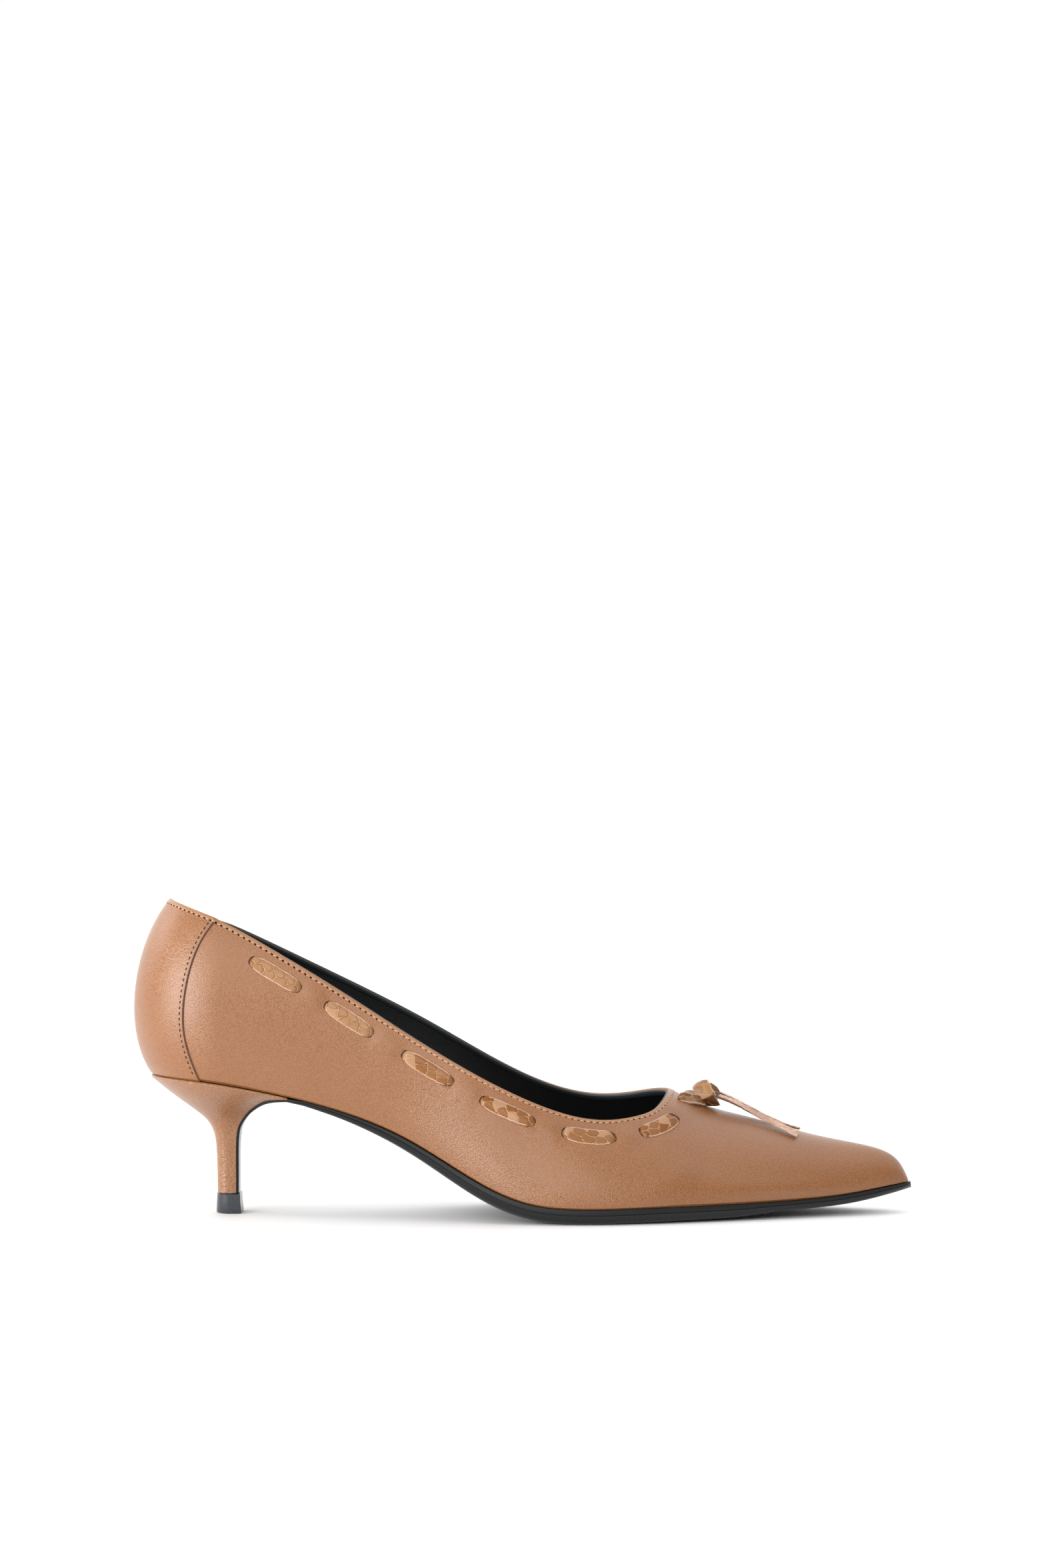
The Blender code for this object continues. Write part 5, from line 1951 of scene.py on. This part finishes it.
@dataclass
class Sole:
    """The thin sole: forepart, shank and breast cover in one strip, with a scored line round its edge."""

    last: Last
    heel: Heel
    gap: float = 0.06
    lip: float = 0.7
    # where the strip meets the breast, and where the toe's crowded columns start
    breast: float = -72.0
    point: float = 152.0
    # the profile's rows above its scored line, and the points across its level faces
    band_rows: int = 8
    bed_columns: int = 7
    # x, thickness
    thickness: Rows = (
        (-96.0, 0.9), (-77.0, 1.2), (-70.0, 1.7), (-60.0, 2.3), (-46.0, 3.3), (-30.0, 4.0), (-16.0, 4.6),
        (2.0, 5.2), (30.0, 5.2), (62.0, 4.9), (75.0, 4.4), (84.0, 3.5), (93.0, 3.3), (104.0, 3.3),
        (118.0, 3.0), (131.0, 2.0),
    )
    # share of the depth, inward in millimetres, inward as a share of the softened corner
    profile: Rows = (
        (0.0, 0.45, 0.0), (0.02, 0.1, 0.0), (0.07, 0.0, 0.0), (0.18, 0.0, 0.0), (0.29, 0.0, 0.0),
        (0.315, 0.05, 0.0), (0.33, 0.26, 0.0), (0.36, 0.28, 0.0), (0.38, 0.06, 0.0), (0.41, -0.02, 0.0),
        (0.5, 0.0, 0.03), (0.62, 0.0, 0.1), (0.74, 0.0, 0.2), (0.86, 0.0, 0.36), (0.95, 0.0, 0.6),
        (0.99, 0.0, 0.82), (1.0, 0.0, 1.0),
    )

    def course(self) -> Array:
        """The top of the strip: along the upper's bottom, then down the heel's breast.

        Returns:
            From the toe to the heel's foot, x, z, and lateral and medial half width.
        """
        last = self.last
        point = np.linspace(last.toe_end, self.point, 14)[:-1]
        taper = np.linspace(self.point, last.toe_start, 60)[:-1]
        station = np.concatenate((point, taper, np.linspace(last.toe_start, self.breast, 170)))
        x = last.frame(Side.MEDIAL, station)[0]
        toe = np.clip((station - last.toe_start) / (last.toe_end - last.toe_start), 0, 1)
        x = x + self.lip * toe**2
        lip = self.lip * np.clip((station - self.breast) / 40, 0.15, 1)
        wide = [last.feather(side.value * (station - last.heel_back)) + lip for side in Side]
        front = np.stack((x, last.bottom_height(x) - self.gap, *wide), -1)
        seat = self.heel.seat()
        half = np.abs(seat[:, 1]).max()
        fine = through(self.heel.rows, 65)
        slope = unit(np.gradient(fine[:, :2], axis=0))
        breast_x = fine[:, 0] - self.gap * slope[:, 1]
        breast_z = fine[:, 1] + self.gap * slope[:, 0]
        wide = [fine[:, 4] * abs(corner) / half for corner in seat[[0, -1], 1]]
        return np.concatenate((front, np.stack((breast_x, breast_z, *wide), -1)))

    def build(self) -> None:
        """Carries the edge's profile along the strip's course and closes it under the shoe."""
        course = self.course()
        run = unit(np.gradient(course[:, :2], axis=0))
        down = np.stack((-run[:, 1], run[:, 0]), -1)
        table = np.array(self.thickness)
        depth = Spline(table[:, 0], table[:, 1])(course[:, 0])
        lateral, medial = course[:, 2:3], course[:, 3:4]
        shape = np.array(self.profile)
        soft = np.minimum(depth[:, None] * 1.1, 0.45 * (lateral + medial))
        thin = np.clip(depth[:, None] / 3.0, 0.3, 1.0)
        room = np.minimum(lateral, medial) * 0.8
        inward = np.minimum(shape[:, 1] * thin + shape[:, 2] * soft, room)
        deep = depth[:, None] * shape[:, 0]
        bed = np.linspace(-1, 1, self.bed_columns + 2)[1:-1]
        middle = 0.5 * (medial - lateral)
        flat_low = bed[None, :] * 0.5 * (lateral + medial - 2 * inward[:, -1:]) + middle
        flat_top = bed[None, ::-1] * 0.5 * (lateral + medial - 2 * inward[:, :1]) + middle
        across = np.concatenate((-lateral + inward, flat_low, (medial - inward)[:, ::-1], flat_top), axis=1)
        deep = np.concatenate((deep, depth[:, None] + 0 * flat_low, deep[:, ::-1], 0 * flat_top), axis=1)
        x = course[:, :1] + down[:, :1] * deep
        z = np.maximum(course[:, 1:2] + down[:, 1:] * deep, 0)
        maker = Maker()
        ids = maker.add(np.stack((x, across, z), -1))
        closed = np.concatenate((ids, ids[:, :1]), axis=1)
        near = self.band_rows
        far = 2 * len(shape) + self.bed_columns - 1
        stretches = ((0, near, 1), (near, far - near, 0), (far - near, far, 1), (far, closed.shape[1] - 1, 0))
        for first, final, slot in stretches:
            maker.quads(closed[:, first : final + 1], slot)
        maker.cap(ids[0])
        maker.cap(ids[-1])
        piece = maker.make("sole", [FINISHES.sole, FINISHES.sole_band], Crease.SOLE)
        settle(piece, Slot.SOLE, "outsole")


@dataclass
class Studio:
    """The camera at the photograph's angle, a plain pale floor and soft light."""

    place: Triple = (-0.0002, -1.1987, 0.1436)
    lens: float = 82.09
    sensor: float = 36.0
    floor_half: float = 6.0
    # name, place, aim, width, height, power
    lights: tuple[tuple[str, tuple, tuple, float, float, float], ...] = (
        ("left", (-0.82, -0.62, 0.19), (-0.08, 0.0, 0.06), 0.9, 0.34, 8.3),
        ("above", (-0.56, -1.42, 0.74), (-0.12, 0.0, 0.06), 1.4, 0.6, 8.5),
        ("back", (-1.0, 0.27, 0.5), (-0.11, 0.0, 0.09), 0.3, 0.3, 1.2),
        ("front", (0.2, -1.35, 0.66), (-0.1, 0.0, 0.08), 0.36, 0.5, 2.4),
    )
    # the surroundings' strength, the way to their bright side, and the span over which they brighten
    ambient: Pair = (0.2, 1.5)
    bright: Triple = (0.0, 0.62, 0.78)
    span: Pair = (-0.2, 0.65)

    def build(self) -> None:
        """Makes the camera, the floor, the lights and the world."""
        scene = bpy.context.scene
        camera = bpy.data.objects.new("camera", bpy.data.cameras.new("camera"))
        camera.location = self.place
        camera.rotation_euler = (math.pi / 2, 0, 0)
        camera.data.lens = self.lens
        camera.data.sensor_width = self.sensor
        camera.data.clip_start = 0.01
        camera.data.clip_end = 50.0
        scene.collection.objects.link(camera)
        scene.camera = camera
        scene.view_settings.view_transform = "Standard"
        self.floor()
        for name, place, aim, width, height, power in self.lights:
            self.light(name, np.array(place), np.array(aim), (width, height), power)
        self.world()

    def floor(self) -> None:
        """The floor: one broad level sheet of pale matt board."""
        half = self.floor_half
        mesh = bpy.data.meshes.new("floor")
        corners = ((-half, -half, 0), (half, -half, 0), (half, half, 0), (-half, half, 0))
        mesh.from_pydata(corners, [], [(0, 1, 2, 3)])
        board = PlainFinish("pale matt board", "#F4F4F4", "#F7F7F7", (0.6, 0.7), 40.0, 0.0)
        mesh.materials.append(board.material())
        floor = bpy.data.objects.new("floor", mesh)
        bpy.context.scene.collection.objects.link(floor)

    def light(self, name: str, place: Array, aim: Array, size: Pair, power: float) -> None:
        """A softbox that looks at a point.

        Args:
            name: the light's name.
            place: where it stands, in metres.
            aim: the point that it looks at.
            size: its width and height.
            power: its power in watts.
        """
        data = bpy.data.lights.new(name, "AREA")
        data.shape = "RECTANGLE"
        data.size, data.size_y = size
        data.energy = power
        lamp = bpy.data.objects.new(name, data)
        lamp.location = place
        back = unit(place - aim)
        lamp.rotation_euler = (math.acos(back[2]), 0, math.atan2(back[0], -back[1]))
        bpy.context.scene.collection.objects.link(lamp)

    def world(self) -> None:
        """White surroundings, brighter behind the shoe than behind the camera, and a white background."""
        world = bpy.data.worlds.new("studio")
        world.use_nodes = True
        tree = world.node_tree
        tree.nodes.clear()
        direction = node(tree, "TexCoord").outputs["Generated"]
        behind = node(tree, "VectorMath", {0: direction, 1: self.bright}, operation="DOT_PRODUCT")
        ramp = dict(zip(("From Min", "From Max", "To Min", "To Max"), self.span + self.ambient))
        value = {"Value": behind.outputs["Value"], **ramp}
        glow = node(tree, "MapRange", value, interpolation_type="SMOOTHSTEP")
        seen = node(tree, "LightPath").outputs["Is Camera Ray"]
        strength = node(tree, "Mix", {0: seen, 2: glow.outputs[0], 3: 1.0}, data_type="FLOAT")
        shade = node(tree, "Background", {"Color": linear("#FFFFFF"), "Strength": strength.outputs[0]})
        node(tree, "OutputWorld", {"Surface": shade})
        bpy.context.scene.world = world


def main() -> None:
    """Builds the scene piece by piece."""
    logging.basicConfig(level=logging.INFO, format="%(name)s %(message)s")
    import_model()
    Studio().build()
    last = Last()
    windows = Windows()
    lines = {side: StripLine(last, side) for side in Side}
    Bow(last).build()
    Strip(lines, windows).build()
    Upper(last, lines, windows).build()
    counter = Counter(last)
    counter.build()
    Topline(last, counter).build(Stitching())
    Lining(last).build()
    heel = Heel(last)
    heel.build()
    Sole(last, heel).build()


if __name__ == "__main__":
    main()
